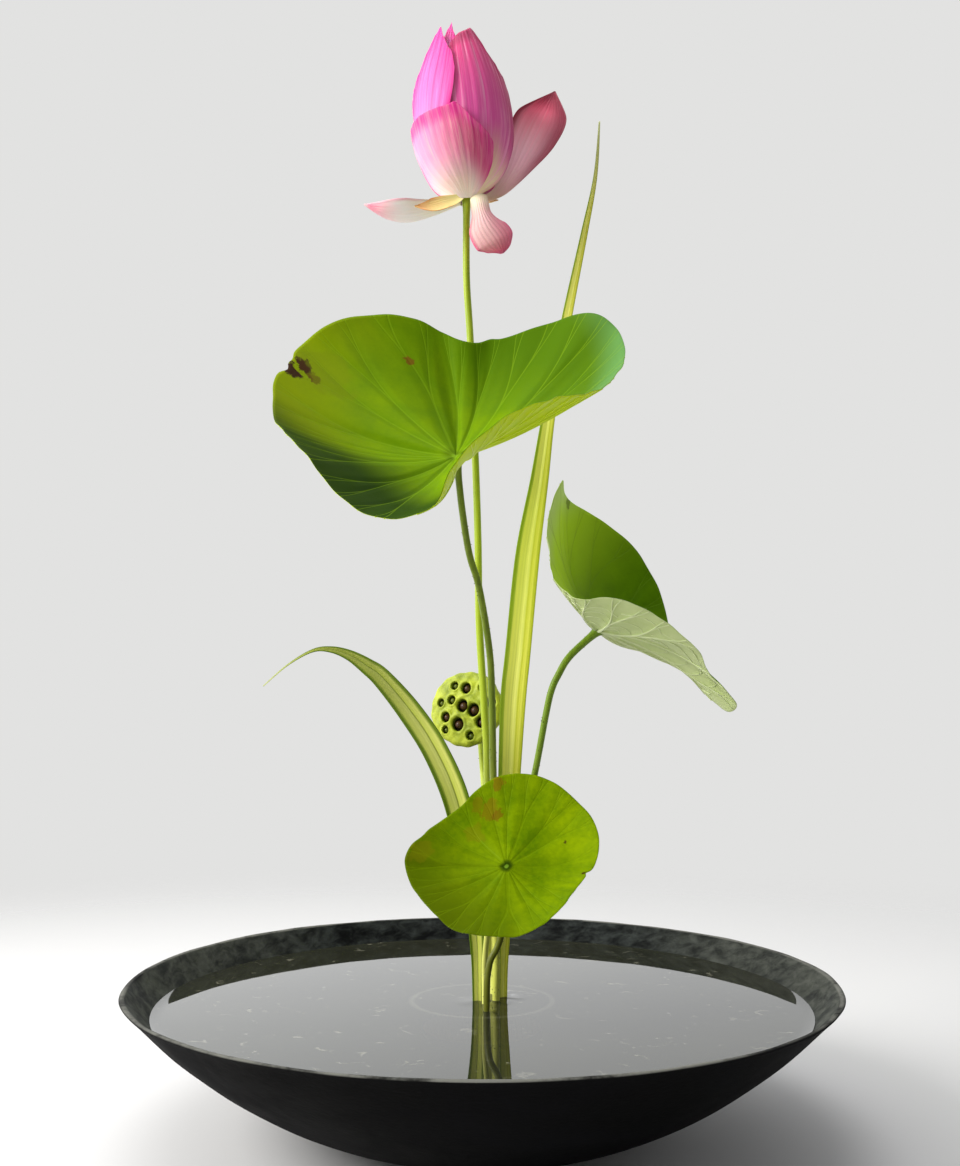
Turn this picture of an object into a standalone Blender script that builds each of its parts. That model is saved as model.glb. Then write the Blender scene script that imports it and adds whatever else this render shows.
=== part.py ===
"""Ikebana arrangement: lotus flower, lotus leaves, striped leaves and a seed pod in an iron bowl.

Lengths are millimetres and angles degrees; build_mesh turns them into metres.
+Z is up, the viewer stands at -Y and the origin is the centre of the bowl's flat foot.
"""

import bpy
import bmesh
from math import ceil, cos, hypot, pi, radians, sin, sqrt
from mathutils import Vector

MM = 0.001
GAP = 0.4                    # air left between pieces that touch

# Bowl: a spherical dish with a small flat foot
RIM_RADIUS = 250.0
RIM_HEIGHT = 105.0
DISH_RADIUS = 330.0          # radius of the sphere that the outside follows
WALL = 3.0
INNER_FLAT = 78.0            # radius of the flat patch inside, under the pin holder
WATER_LEVEL = 87.0
BOWL_RINGS = 8

# Pin holder
HOLDER_RADIUS = 43.0
HOLDER_HEIGHT = 12.0
PIN_PLATE = 1.2
PIN_HEIGHT = 13.0
PIN_PITCH = 7.2
PIN_CLEARANCE = 3.2          # pins are left out this far around a stem's foot

DISH_CENTRE_Z = RIM_HEIGHT + sqrt(DISH_RADIUS ** 2 - RIM_RADIUS ** 2)
HOLDER_TOP = WALL + GAP + HOLDER_HEIGHT
PLATE_TOP = HOLDER_TOP + GAP + PIN_PLATE
FOOT = PLATE_TOP + GAP       # height at which every stem is cut off

# Stems: route points (x, y, z) from the foot up, and the radius at each end
STEMS = {
    "flower_stem": {
        "route": ((3, 5, FOOT), (3, 4, 90), (4, 4, 132), (4, 6, 247), (2, 8, 290), (-2, 11, 357),
                  (-3, 12, 420), (-5, 13, 483), (-9, 14, 578), (-12, 14, 630), (-12, 14, 690)),
        "radii": (2.9, 2.7)},
    "large_leaf_stalk": {
        "route": ((11, -4, FOOT), (10, -4, 90), (10, -5, 131), (8, -10, 250), (7, -17, 306),
                  (5, -25, 338), (-2, -40, 379), (-9, -53, 402), (-14, -66, 432), (-17, -74, 462)),
        "radii": (2.7, 2.4)},
    "right_leaf_stalk": {
        "route": ((4, -34, FOOT), (3, -34, 90), (5, -32, 118), (13, -31, 137), (24, -32, 193),
                  (37, -34, 249), (45, -35, 290), (49, -35, 307), (54, -34, 318), (63, -32, 332),
                  (81, -30, 348)),
        "radii": (2.2, 2.6)},
    "small_leaf_stalk": {
        "route": ((2, -12, FOOT), (2, -13, 90), (2, -17, 118), (5, -31, 146), (11, -54, 172),
                  (16, -70, 187)),
        "radii": (2.1, 2.0)},
    "seed_pod_stem": {
        "route": ((10, 15, FOOT), (8, 17, 90), (6, 26, 150), (3, 42, 215), (0, 66, 256),
                  (-2, 80, 276), (-6, 77, 287)),
        "radii": (2.4, 2.4)},
}

# Striped leaves: (x, y, z, width, turn) up the middle, where turn swings the face from the viewer
STRIPED_LEAVES = {
    "tall_striped_leaf": (
        (16, 6, FOOT, 6, 10), (15, 6, 90, 6, 10), (16, 7, 130, 8, 10), (18, 9, 190, 13, 9),
        (20, 11, 247, 16.5, 8), (23, 15, 301, 19, 6), (27, 19, 338, 19, 4), (35, 29, 412, 18.5, 2),
        (45, 37, 473, 14, 0), (54, 43, 532, 10, -4), (69, 52, 610, 8, -8), (84, 58, 682, 5.5, -8),
        (94, 61, 733, 3, -6), (98, 62, 781, 1.2, -5)),
    "left_striped_leaf": (
        (-3, -3, FOOT, 7, 0), (-3, -3, 90, 7.5, 0), (-4, -4, 133, 10.5, 0), (-10, -8, 185, 16, 0),
        (-18, -12, 228, 19, -4), (-33, -18, 264, 18.5, -8), (-51, -23, 292, 18.5, -12),
        (-70, -29, 315, 16, -16), (-81, -31, 324, 13.5, -18), (-94, -33, 332, 9.5, -20),
        (-107, -35, 336, 6, -22), (-120, -37, 335, 3, -22), (-137, -39, 325, 1.5, -22),
        (-154, -40, 310, 0.9, -22)),
}
STRIPED_THICKNESS = 1.1

# Lotus leaves: where the stalk joins, then the margin as (x, y, z, sag) from there
LOTUS_LEAVES = {
    "large_leaf": {
        "navel": (-18, -75, 467),
        "margin": (
            (-125, -12, 36, 10), (-126, 8, 60, 8), (-113, 34, 90, 8), (-89, 50, 113, 10),
            (-58, 64, 123, 12), (-32, 71, 122, 14), (-12, 74, 112, 16), (7, 70, 103, 14),
            (31, 74, 107, 14), (69, 66, 117, 14), (98, 48, 118, 14), (114, 32, 103, 15),
            (118, 6, 77, 12), (109, -26, 50, 7), (87, -62, 28, 4), (61, -98, 14, 4),
            (47, -112, 7, 6), (30, -126, -6, 7), (14, -134, -21, 8), (0, -136, -38, 8),
            (-11, -130, -57, 8), (-30, -116, -63, 8), (-48, -108, -60, 8), (-65, -98, -49, 8),
            (-83, -84, -27, 8), (-100, -66, -7, 8), (-118, -36, 16, 10))},
    "right_leaf": {
        "navel": (84, -30, 351),
        "margin": (
            (-24, 30, 114, 14), (-33, 6, 92, 10), (-37, -9, 72, 8), (-37, -24, 52, 5),
            (-35, -40, 33, 2), (-27, -54, 20, 2), (-17, -66, 15, 5), (0, -78, 15, 8),
            (18, -82, 8, 8), (34, -80, 0, 6), (48, -74, -11, 4), (58, -66, -19, 0),
            (67, -50, -31, -5), (79, -36, -41, -8), (92, -22, -54, -9), (88, -12, -59, -9),
            (80, 2, -51, -8), (72, 16, -37, -4), (65, 34, -24, 4), (60, 54, -6, 10),
            (59, 68, 14, 14), (55, 78, 36, 16), (46, 82, 56, 18), (36, 82, 71, 18),
            (12, 73, 89, 18), (-12, 54, 100, 16), (-21, 42, 106, 14))},
    "small_leaf": {
        "navel": (16, -80, 191),
        "margin": (
            (-67, 6, 1, 4), (-66, 8, 8, 4), (-58, 16, 18, 4), (-44, 22, 27, 4), (-30, 26, 37, 4),
            (-20, 33, 47, 4), (-5, 37, 56, 5), (15, 38, 58, 5), (34, 35, 52, 5), (51, 27, 38, 5),
            (59, 18, 28, 5), (62, 8, 15, 5), (58, -3, 2, 5), (48, -12, -9, 5), (36, -24, -21, 5),
            (22, -34, -32, 5), (5, -39, -38, 5), (-16, -38, -38, 5), (-34, -33, -35, 5),
            (-48, -22, -26, 5), (-61, -8, -13, 4))},
}
LEAF_THICKNESS = 1.0
LEAF_RINGS = 5
LEAF_SPOKES = 38

# Lotus bud: its axis, and the outline (height, radius) that its closed petals follow
BUD_BASE = Vector((-12, 14, 695))
BUD_TOP = Vector((-21, 13, 836))
BUD_PROFILE = ((0, 7), (5, 17), (14, 27.5), (28, 35.5), (50, 40), (75, 38.5), (98, 32.5),
               (120, 23.5), (141, 13))
PETAL_LAYER = 1.8            # distance from one layer of petals to the next
PETAL_THICKNESS = 0.8
PETAL_WRAP = 0.55            # least share of the full angle that a petal's lower half spans
PETAL_OUTLINE = ((0, 0.2), (0.12, 0.46), (0.3, 0.84), (0.5, 1.0), (0.7, 0.98), (0.85, 0.84),
                 (0.95, 0.52), (1, 0.04))

# Closed petals: heading at the foot and the tip (0 faces the viewer, 90 is to the right),
# half the angle they span, heights, layer from the inside, and how far the top draws in
BUD_PETALS = {
    "petal_inner_right": {"heading": (60, 60), "half": 52, "heights": (5, 128), "layer": -1, "draw": 9},
    "petal_inner_left": {"heading": (-60, -60), "half": 52, "heights": (5, 126), "layer": -1, "draw": 9},
    "petal_inner_back": {"heading": (180, 180), "half": 52, "heights": (5, 129), "layer": -1, "draw": 9},
    "petal_narrow_tip": {"heading": (-20, -28), "half": 34, "heights": (4, 140), "layer": 0, "draw": 2},
    "petal_broad_right": {"heading": (42, 40), "half": 52, "heights": (3, 134), "layer": 1, "draw": 0},
    "petal_back_right": {"heading": (146, 140), "half": 46, "heights": (3, 133), "layer": 1, "draw": 1},
    "petal_upper_left": {"heading": (-52, -58), "half": 46, "heights": (3, 136), "layer": 2, "draw": 0},
    "petal_back_left": {"heading": (206, 206), "half": 44, "heights": (3, 132), "layer": 2, "draw": 1},
    "petal_front_short": {"heading": (-32, -16), "half": 54, "heights": (2, 59), "layer": 3, "draw": -2},
    "petal_back_short": {"heading": (194, 190), "half": 48, "heights": (2, 92), "layer": 3, "draw": -2},
}

# Opened petals: spine from the flower's foot to the tip, the direction across, half widths
# along the spine, and how far the rims rise over the spine
OPEN_PETALS = {
    "petal_open_right": {
        "spine": ((3, 19, 693), (18, 33, 702), (34, 44, 723), (46, 50, 750), (55, 50, 776), (61, 45, 797)),
        "across": (-0.72, 0.3, 0.62), "rise_to": (-0.35, -0.9, 0.3),
        "halves": (4, 8, 16, 22, 17, 1), "rise": 7, "finish": "pink_petal"},
    "petal_spread_left": {
        "spine": ((-17, 14, 688), (-38, 12, 682), (-58, 12, 678), (-76, 12, 680), (-92, 12, 687)),
        "across": (0, 1, 0), "rise_to": (0, 0, 1), "halves": (5, 13, 19, 15, 1), "rise": 7},
    "petal_withered": {
        "spine": ((-17, 1, 689), (-27, -5, 683), (-38, -9, 678), (-51, -11, 678)),
        "across": (0.1, 0.6, 0.8), "rise_to": (0, -0.8, 0.6), "halves": (3, 7, 8, 1), "rise": 3,
        "finish": "tan_petal"},
    "petal_drooping": {
        "spine": ((-4, 5, 692), (-2, -2, 683), (2, -6, 670), (7, -8, 659), (12, -7, 647), (16, -2, 638)),
        "across": (0.93, 0.1, 0.36), "rise_to": (0, 1, 0.2),
        "halves": (4.5, 5, 9, 15, 17, 2), "rise": 6},
    "petal_stub": {
        "spine": ((0, 31, 697), (6, 35, 699), (13, 38, 702)),
        "across": (0, 0.8, 0.6), "rise_to": (-0.3, 0, 1), "halves": (3, 5, 1), "rise": 1.5},
}

# Flower centre, hidden in the bud
RECEPTACLE = ((0, 6.5), (3, 8), (12, 11), (24, 14), (27, 13))
STAMEN_RING = 16.0
STAMEN_COUNT = 24
STAMEN_BAND = 8.0            # height of the ring that joins the stamens
STAMEN_TOP = 24.0
STAMEN_FOOT = 12.0           # height of the ring's foot over the bud's base

# Seed pod: the middle of its face, the way that it looks, and the outline (depth, radius)
POD_FACE = Vector((-13, 38, 295))
POD_LOOK = Vector((-0.34, -0.92, 0.16)).normalized()
POD_PROFILE = ((0, 26.5), (2.5, 28.5), (7, 28), (15, 22), (24, 13), (33, 6), (38, 3.4))
POD_CROWN = 3.0              # how far the face bulges
SEEDS = ((0.08, 130), (0.30, -12), (0.46, 150), (0.58, 88), (0.74, 118), (0.76, 168), (0.62, 205),
         (0.50, 250), (0.80, 50), (0.82, 12), (0.66, -38), (0.82, -75), (0.84, 228))
POCKET_RADIUS = 4.1
POCKET_DEPTH = 7.0
SEED_RADIUS = 3.0

COLOURS = {                  # base colour, roughness, metallic
    "black_iron": ((0.02, 0.021, 0.022), 0.55, 0.6),
    "water": ((0.55, 0.58, 0.52), 0.05, 0.0),
    "lead": ((0.16, 0.16, 0.17), 0.55, 0.8),
    "brass_pins": ((0.60, 0.42, 0.14), 0.35, 1.0),
    "green_stem": ((0.30, 0.42, 0.05), 0.5, 0.0),
    "lotus_leaf": ((0.13, 0.30, 0.02), 0.45, 0.0),
    "striped_leaf": ((0.62, 0.68, 0.12), 0.45, 0.0),
    "pink_petal": ((0.80, 0.16, 0.42), 0.55, 0.0),
    "white_petal": ((0.88, 0.74, 0.70), 0.55, 0.0),
    "tan_petal": ((0.76, 0.58, 0.30), 0.6, 0.0),
    "pod": ((0.50, 0.60, 0.06), 0.6, 0.0),
    "seed": ((0.10, 0.07, 0.03), 0.4, 0.0),
    "stamen": ((0.90, 0.72, 0.20), 0.6, 0.0),
}


def clear_scene():
    for item in list(bpy.data.objects):
        bpy.data.objects.remove(item, do_unlink=True)


def material(name):
    found = bpy.data.materials.get(name)
    if found:
        return found
    colour, roughness, metallic = COLOURS[name]
    made = bpy.data.materials.new(name)
    made.use_nodes = True
    shader = made.node_tree.nodes["Principled BSDF"]
    shader.inputs["Base Color"].default_value = (*colour, 1)
    shader.inputs["Roughness"].default_value = roughness
    shader.inputs["Metallic"].default_value = metallic
    return made


def build_mesh(name, points, faces, finish, smooth_angle=40):
    """One object from points in millimetres, its faces turned outwards."""
    mesh = bpy.data.meshes.new(name)
    mesh.from_pydata([tuple(c * MM for c in p) for p in points], [], faces)
    shape = bmesh.new()
    shape.from_mesh(mesh)
    bmesh.ops.recalc_face_normals(shape, faces=shape.faces)
    shape.to_mesh(mesh)
    shape.free()
    mesh.shade_smooth()
    mesh.set_sharp_from_angle(angle=radians(smooth_angle))
    mesh.materials.append(material(finish))
    item = bpy.data.objects.new(name, mesh)
    bpy.context.scene.collection.objects.link(item)
    return item


def through(knots, t, closed=False):
    """Point at t (0 to 1) on a smooth curve through knots, which are tuples of any length."""
    count = len(knots)
    spans = count if closed else count - 1
    at = min(max(t, 0.0), 1.0) * spans
    i = min(int(at), spans - 1)
    f = at - i

    def knot(k):
        return knots[k % count] if closed else knots[min(max(k, 0), count - 1)]

    a, b, c, d = knot(i - 1), knot(i), knot(i + 1), knot(i + 2)
    return tuple(0.5 * (2 * q + (r - p) * f + (2 * p - 5 * q + 4 * r - s) * f * f
                        + (3 * q - p - 3 * r + s) * f ** 3) for p, q, r, s in zip(a, b, c, d))


def curve_points(knots, steps, closed=False):
    """Points that divide the curve evenly between its knots."""
    return [through(knots, i / steps, closed) for i in range(steps if closed else steps + 1)]


def lookup(table, x):
    """Value of a smooth curve through (x, value) pairs."""
    for (x0, _), (x1, _) in zip(table, table[1:]):
        if x <= x1:
            break
    i = [row[0] for row in table].index(x0)
    f = (x - x0) / (x1 - x0)
    return through(table, (i + min(max(f, 0), 1)) / (len(table) - 1))[1]


def loft(name, loops, finish, smooth_angle=40):
    """Closed solid through loops of equal length, capped at both ends."""
    size = len(loops[0])
    points = [p for ring in loops for p in ring]
    faces = [tuple(range(size)), tuple(len(points) - size + k for k in range(size))]
    for i in range(len(loops) - 1):
        for k in range(size):
            j = (k + 1) % size
            faces.append((i * size + k, i * size + j, (i + 1) * size + j, (i + 1) * size + k))
    return build_mesh(name, points, faces, finish, smooth_angle)


def frames_along(route):
    """A (point, side, up) frame at each point of a route, turned as little as possible."""
    points = [Vector(p) for p in route]
    side = Vector((1, 0, 0))
    frames = []
    for i, p in enumerate(points):
        ahead = (points[min(i + 1, len(points) - 1)] - points[max(i - 1, 0)]).normalized()
        side = (side - ahead * side.dot(ahead)).normalized()
        frames.append((p, side, ahead.cross(side)))
    return frames


def tube(name, route, radii, finish, sides=8, steps=22):
    frames = frames_along(curve_points(route, steps))
    loops = []
    for i, (p, side, up) in enumerate(frames):
        r = radii[0] + (radii[1] - radii[0]) * i / steps
        loops.append([p + (side * cos(2 * pi * k / sides) + up * sin(2 * pi * k / sides)) * r
                      for k in range(sides)])
    return loft(name, loops, finish)


def revolve(name, outline, finish, centre=(0, 0, 0), axis=(0, 0, 1), sides=60, smooth_angle=40):
    """Solid turned from an outline of (height, radius) that closes on the axis at both ends."""
    turn = Vector((0, 0, 1)).rotation_difference(Vector(axis)).to_matrix()
    points = []
    faces = []
    for h, r in (outline[0], outline[-1]):
        points.append(Vector(centre) + turn @ Vector((0, 0, h)))
    for h, r in outline:
        for k in range(sides):
            a = 2 * pi * k / sides
            points.append(Vector(centre) + turn @ Vector((r * cos(a), r * sin(a), h)))
    last = len(points) - sides
    for k in range(sides):
        j = (k + 1) % sides
        faces.append((0, 2 + j, 2 + k))
        faces.append((1, last + k, last + j))
        for i in range(len(outline) - 1):
            low = 2 + i * sides
            faces.append((low + k, low + j, low + sides + j, low + sides + k))
    return build_mesh(name, points, faces, finish, smooth_angle)


def thicken(item, thickness):
    wall = item.modifiers.new("thickness", "SOLIDIFY")
    wall.thickness = thickness * MM
    wall.offset = 0
    wall.use_even_offset = False


def dish_height(radius, inset=0.0):
    """Height of the bowl's sphere at a radius, moved inwards by inset."""
    return DISH_CENTRE_Z - sqrt((DISH_RADIUS - inset) ** 2 - radius ** 2)


def dish_radius(height, inset=0.0):
    return sqrt((DISH_RADIUS - inset) ** 2 - (DISH_CENTRE_Z - height) ** 2)


def bowl_inside(lift=0.0):
    """Outline of the bowl's inner wall from the flat patch to the rim, as (height, radius)."""
    rim = dish_radius(RIM_HEIGHT, WALL)
    radii = [INNER_FLAT + (rim - INNER_FLAT) * i / BOWL_RINGS for i in range(BOWL_RINGS + 1)]
    return [(WALL + lift, INNER_FLAT)] + [(dish_height(r, WALL) + lift, r) for r in radii[1:]]


def bowl():
    foot = dish_radius(0)
    radii = [foot + (RIM_RADIUS - foot) * i / BOWL_RINGS for i in range(BOWL_RINGS + 1)]
    outline = [(0, foot)] + [(dish_height(r), r) for r in radii[1:]]
    outline += reversed(bowl_inside())
    revolve("iron_bowl", outline, "black_iron")


def water(stems):
    """Water down to the bowl's floor, hollowed from below around the pin holder and the stems."""
    wall = bowl_inside(lift=1.3 * GAP)
    room = HOLDER_RADIUS + GAP
    outline = [(PLATE_TOP + PIN_HEIGHT + GAP, room), (wall[0][0], room)]
    for low, high in zip(wall, wall[1:]):
        outline.append(low)
        if high[0] > WATER_LEVEL:
            share = (WATER_LEVEL - low[0]) / (high[0] - low[0])
            outline.append((WATER_LEVEL, low[1] + (high[1] - low[1]) * share))
            break
    body = revolve("water", outline, "water")
    for stem in stems:
        cut = body.modifiers.new("hole", "BOOLEAN")
        cut.operation = "DIFFERENCE"
        cut.solver = "EXACT"
        cut.object = stem


def as_cutter(item):
    item.hide_render = True
    item.display_type = "WIRE"
    return item


def stem_sleeve(name, route, radius):
    """Cutter a little wider than a stem, through the height that the water holds."""
    low, high = FOOT - 6, WATER_LEVEL + 25
    wet = [p for p in curve_points(route, 80) if FOOT < p[2] <= high]
    wet = [(*route[0][:2], low), route[0]] + wet[1::3]
    return as_cutter(tube(name + "_hole", wet, (radius + GAP, radius + GAP), "water", steps=8))


def striped_section(row, ahead, thickness):
    """Six corners across a striped leaf: a shallow V that stays thinner at its rims."""
    x, y, z, width, turn = row
    face = Vector((sin(radians(turn)), -cos(radians(turn)), 0))
    across = ahead.cross(face).normalized()
    out = across.cross(ahead).normalized()
    p = Vector((x, y, z))
    half = width / 2
    rim = min(thickness, width * 0.5) * 0.35
    fold = width * 0.14
    keel = rim * 1.2
    return [p - across * half + out * (fold + rim), p - across * half + out * (fold - rim),
            p - out * keel, p + across * half + out * (fold - rim),
            p + across * half + out * (fold + rim), p + out * keel]


def striped_leaf(name, rows, steps=30, grow=0.0, suffix="", finish="striped_leaf"):
    points = curve_points(rows, steps)
    loops = []
    for i, row in enumerate(points):
        before, after = points[max(i - 1, 0)], points[min(i + 1, steps)]
        ahead = (Vector(after[:3]) - Vector(before[:3])).normalized()
        wide = row[:3] + (row[3] + 2 * grow, row[4])
        loops.append(striped_section(wide, ahead, STRIPED_THICKNESS + 4 * grow))
    return loft(name + suffix, loops, finish)


def lotus_leaf(name, navel, margin):
    """Round blade between its navel and its margin, sagging by the given depth half way out."""
    centre = Vector(navel)
    rim = curve_points(margin, LEAF_SPOKES, closed=True)
    normal = Vector((0, 0, 0))
    for a, b in zip(rim, rim[1:] + rim[:1]):
        normal += Vector(a[:3]).cross(Vector(b[:3]))
    normal.normalize()
    if normal.z < 0:
        normal = -normal
    points = [centre]
    for ring in range(1, LEAF_RINGS + 1):
        s = ring / LEAF_RINGS
        for x, y, z, sag in rim:
            points.append(centre + Vector((x, y, z)) * s - normal * sag * 4 * s * (1 - s))
    faces = []
    for k in range(LEAF_SPOKES):
        j = (k + 1) % LEAF_SPOKES
        faces.append((0, 1 + k, 1 + j))
        for ring in range(LEAF_RINGS - 1):
            low = 1 + ring * LEAF_SPOKES
            faces.append((low + k, low + LEAF_SPOKES + k, low + LEAF_SPOKES + j, low + j))
    thicken(build_mesh(name, points, faces, "lotus_leaf"), LEAF_THICKNESS)


def petal_sheet(name, rows, finish):
    """Petal from rows of points, foot to tip, where the last row is drawn to one point."""
    columns = len(rows[0])
    points = [p for row in rows[:-1] for p in row] + [rows[-1][columns // 2]]
    tip = len(points) - 1
    faces = []
    for i in range(len(rows) - 2):
        for k in range(columns - 1):
            low = i * columns + k
            faces.append((low, low + 1, low + 1 + columns, low + columns))
    for k in range(columns - 1):
        faces.append((tip - columns + k, tip - columns + k + 1, tip))
    thicken(build_mesh(name, points, faces, finish), PETAL_THICKNESS)


def bud_petal(name, heading, half, heights, layer, draw, rows=9, columns=9):
    """Petal that lies on one layer of the bud, a surface turned about the bud's axis."""
    axis = (BUD_TOP - BUD_BASE).normalized()
    toward = (Vector((0, -1, 0)) - axis * -axis.y).normalized()
    right = toward.cross(axis) * -1
    grid = []
    for i in range(rows + 1):
        u = i / rows
        h = heights[0] + (heights[1] - heights[0]) * u
        ahead = lookup(BUD_PROFILE, min(h + 1, BUD_PROFILE[-1][0]))
        behind = lookup(BUD_PROFILE, max(min(h, BUD_PROFILE[-1][0]) - 1, 0))
        slope = (ahead - behind) / 2
        out = Vector((1, -slope)).normalized() * (layer - 1) * PETAL_LAYER
        r = lookup(BUD_PROFILE, min(h, BUD_PROFILE[-1][0])) + out.x - draw * u ** 3
        outline = lookup(PETAL_OUTLINE, u)
        if u < 0.5:
            outline = PETAL_WRAP + (1 - PETAL_WRAP) * outline
        spread = half * outline
        middle = heading[0] + (heading[1] - heading[0]) * u
        row = []
        for k in range(columns):
            a = radians(middle + spread * (2 * k / (columns - 1) - 1))
            row.append(BUD_BASE + axis * (h + out.y) + (toward * cos(a) + right * sin(a)) * r)
        grid.append(row)
    petal_sheet(name, grid, "pink_petal")


def open_petal(name, spine, across, rise_to, halves, rise, finish="white_petal", rows=9, columns=7):
    """Petal that has opened: a boat whose rims rise over its spine."""
    knots = [p + (w,) for p, w in zip(spine, halves)]
    grid = []
    points = curve_points(knots, rows)
    for i, (x, y, z, half) in enumerate(points):
        before, after = points[max(i - 1, 0)], points[min(i + 1, rows)]
        ahead = (Vector(after[:3]) - Vector(before[:3])).normalized()
        side = Vector(across)
        side = (side - ahead * side.dot(ahead)).normalized()
        up = Vector(rise_to)
        up = (up - ahead * up.dot(ahead) - side * up.dot(side)).normalized()
        widest = max(halves)
        row = []
        for k in range(columns):
            v = 2 * k / (columns - 1) - 1
            lift = rise * v * v * (half / widest)
            row.append(Vector((x, y, z)) + side * half * v + up * lift)
        grid.append(row)
    petal_sheet(name, grid, finish)


def flower_centre():
    axis = (BUD_TOP - BUD_BASE).normalized()
    revolve("flower_receptacle", RECEPTACLE, "pod", BUD_BASE + axis * 1.2, axis, sides=16)
    turn = Vector((0, 0, 1)).rotation_difference(axis).to_matrix()
    base = BUD_BASE + axis * STAMEN_FOOT
    loops = []
    for k in range(2 * STAMEN_COUNT):
        a = pi * k / STAMEN_COUNT
        top = STAMEN_TOP if k % 2 else STAMEN_BAND
        ring = [(STAMEN_RING, 0), (STAMEN_RING + 2, top), (STAMEN_RING + 1, top), (STAMEN_RING - 1.2, 0)]
        loops.append([base + turn @ Vector((r * cos(a), r * sin(a), h)) for r, h in ring])
    points = [p for ring in loops for p in ring]
    faces = []
    for k in range(len(loops)):
        n = (k + 1) % len(loops)
        for i in range(4):
            j = (i + 1) % 4
            faces.append((k * 4 + i, k * 4 + j, n * 4 + j, n * 4 + i))
    build_mesh("flower_stamens", points, faces, "stamen")


def pod_place(fraction, angle, depth):
    """Point over the pod's face: fraction of its radius, angle, and depth below the face."""
    right = Vector((0, 0, 1)).cross(POD_LOOK).normalized()
    up = POD_LOOK.cross(right)
    radius = fraction * POD_PROFILE[0][1]
    a = radians(angle)
    crown = POD_CROWN * (1 - fraction ** 2)
    return POD_FACE + (right * cos(a) + up * sin(a)) * radius + POD_LOOK * (crown - depth)


def seed_pod():
    outline = [(POD_CROWN, 5), (POD_CROWN * 0.7, 14)]
    outline += [(-depth, radius) for depth, radius in POD_PROFILE]
    body = revolve("seed_pod", outline, "pod", POD_FACE, POD_LOOK, sides=24)
    for i, (fraction, angle) in enumerate(SEEDS):
        floor = pod_place(fraction, angle, POCKET_DEPTH)
        pocket = revolve(f"pocket_{i + 1}", ((0, POCKET_RADIUS * 0.88), (POCKET_DEPTH + 4, POCKET_RADIUS)),
                         "pod", floor, POD_LOOK, sides=8)
        cut = body.modifiers.new("pocket", "BOOLEAN")
        cut.operation = "DIFFERENCE"
        cut.solver = "EXACT"
        cut.object = as_cutter(pocket)
        seed = [(SEED_RADIUS * 1.15 * -cos(pi * k / 6), SEED_RADIUS * sin(pi * k / 6)) for k in range(1, 6)]
        middle = pod_place(fraction, angle, POCKET_DEPTH - GAP - SEED_RADIUS * 1.15)
        revolve(f"lotus_seed_{i + 1:02d}", seed, "seed", middle, POD_LOOK, sides=6, smooth_angle=80)


def pin_holder(feet):
    base = WALL + GAP
    bevel = 1.5
    revolve("holder_base", ((base, HOLDER_RADIUS - bevel), (base + bevel, HOLDER_RADIUS),
                            (HOLDER_TOP - bevel, HOLDER_RADIUS), (HOLDER_TOP, HOLDER_RADIUS - bevel)),
            "lead", sides=40)
    shape = bmesh.new()
    reach = ceil(HOLDER_RADIUS / PIN_PITCH)
    corners = {}

    def corner(i, j):
        if (i, j) not in corners:
            place = ((i - 0.5) * PIN_PITCH, (j - 0.5) * PIN_PITCH, HOLDER_TOP + GAP)
            corners[i, j] = shape.verts.new([c * MM for c in place])
        return corners[i, j]

    for i in range(-reach, reach + 1):
        for j in range(-reach, reach + 1):
            if hypot(abs(i) + 0.5, abs(j) + 0.5) * PIN_PITCH < HOLDER_RADIUS - 1:
                shape.faces.new((corner(i, j), corner(i + 1, j), corner(i + 1, j + 1), corner(i, j + 1)))
    plate = bmesh.ops.extrude_face_region(shape, geom=shape.faces[:])
    raised = [v for v in plate["geom"] if isinstance(v, bmesh.types.BMVert)]
    bmesh.ops.translate(shape, verts=raised, vec=(0, 0, PIN_PLATE * MM))
    shape.normal_update()
    tops = [f for f in plate["geom"] if isinstance(f, bmesh.types.BMFace)]
    free = []
    for face in tops:
        middle = face.calc_center_median() / MM
        if all(hypot(middle.x - x, middle.y - y) > PIN_CLEARANCE + r for x, y, r in feet):
            free.append(face)
    bmesh.ops.inset_individual(shape, faces=free, thickness=PIN_PITCH * 0.38 * MM)
    for spike in bmesh.ops.poke(shape, faces=free)["verts"]:
        spike.co.z += PIN_HEIGHT * MM
    bmesh.ops.recalc_face_normals(shape, faces=shape.faces)
    mesh = bpy.data.meshes.new("holder_pins")
    shape.to_mesh(mesh)
    shape.free()
    mesh.materials.append(material("brass_pins"))
    bpy.context.scene.collection.objects.link(bpy.data.objects.new("holder_pins", mesh))


def main():
    clear_scene()
    bowl()
    feet = [(*spec["route"][0][:2], spec["radii"][0]) for spec in STEMS.values()]
    feet += [(rows[0][0], rows[0][1], rows[0][3] / 2) for rows in STRIPED_LEAVES.values()]
    pin_holder(feet)
    holes = []
    for name, spec in STEMS.items():
        tube(name, spec["route"], spec["radii"], "green_stem")
        holes.append(stem_sleeve(name, spec["route"], spec["radii"][0]))
    for name, rows in STRIPED_LEAVES.items():
        striped_leaf(name, rows)
        holes.append(as_cutter(striped_leaf(name, rows[:3], steps=6, grow=GAP * 1.5,
                                            suffix="_hole", finish="water")))
    water(holes)
    for name, spec in LOTUS_LEAVES.items():
        lotus_leaf(name, spec["navel"], spec["margin"])
    for name, spec in BUD_PETALS.items():
        bud_petal(name, **spec)
    for name, spec in OPEN_PETALS.items():
        open_petal(name, **spec)
    flower_centre()
    seed_pod()


main()
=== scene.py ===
from math import cos, hypot, pi, radians, sin, sqrt

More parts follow.
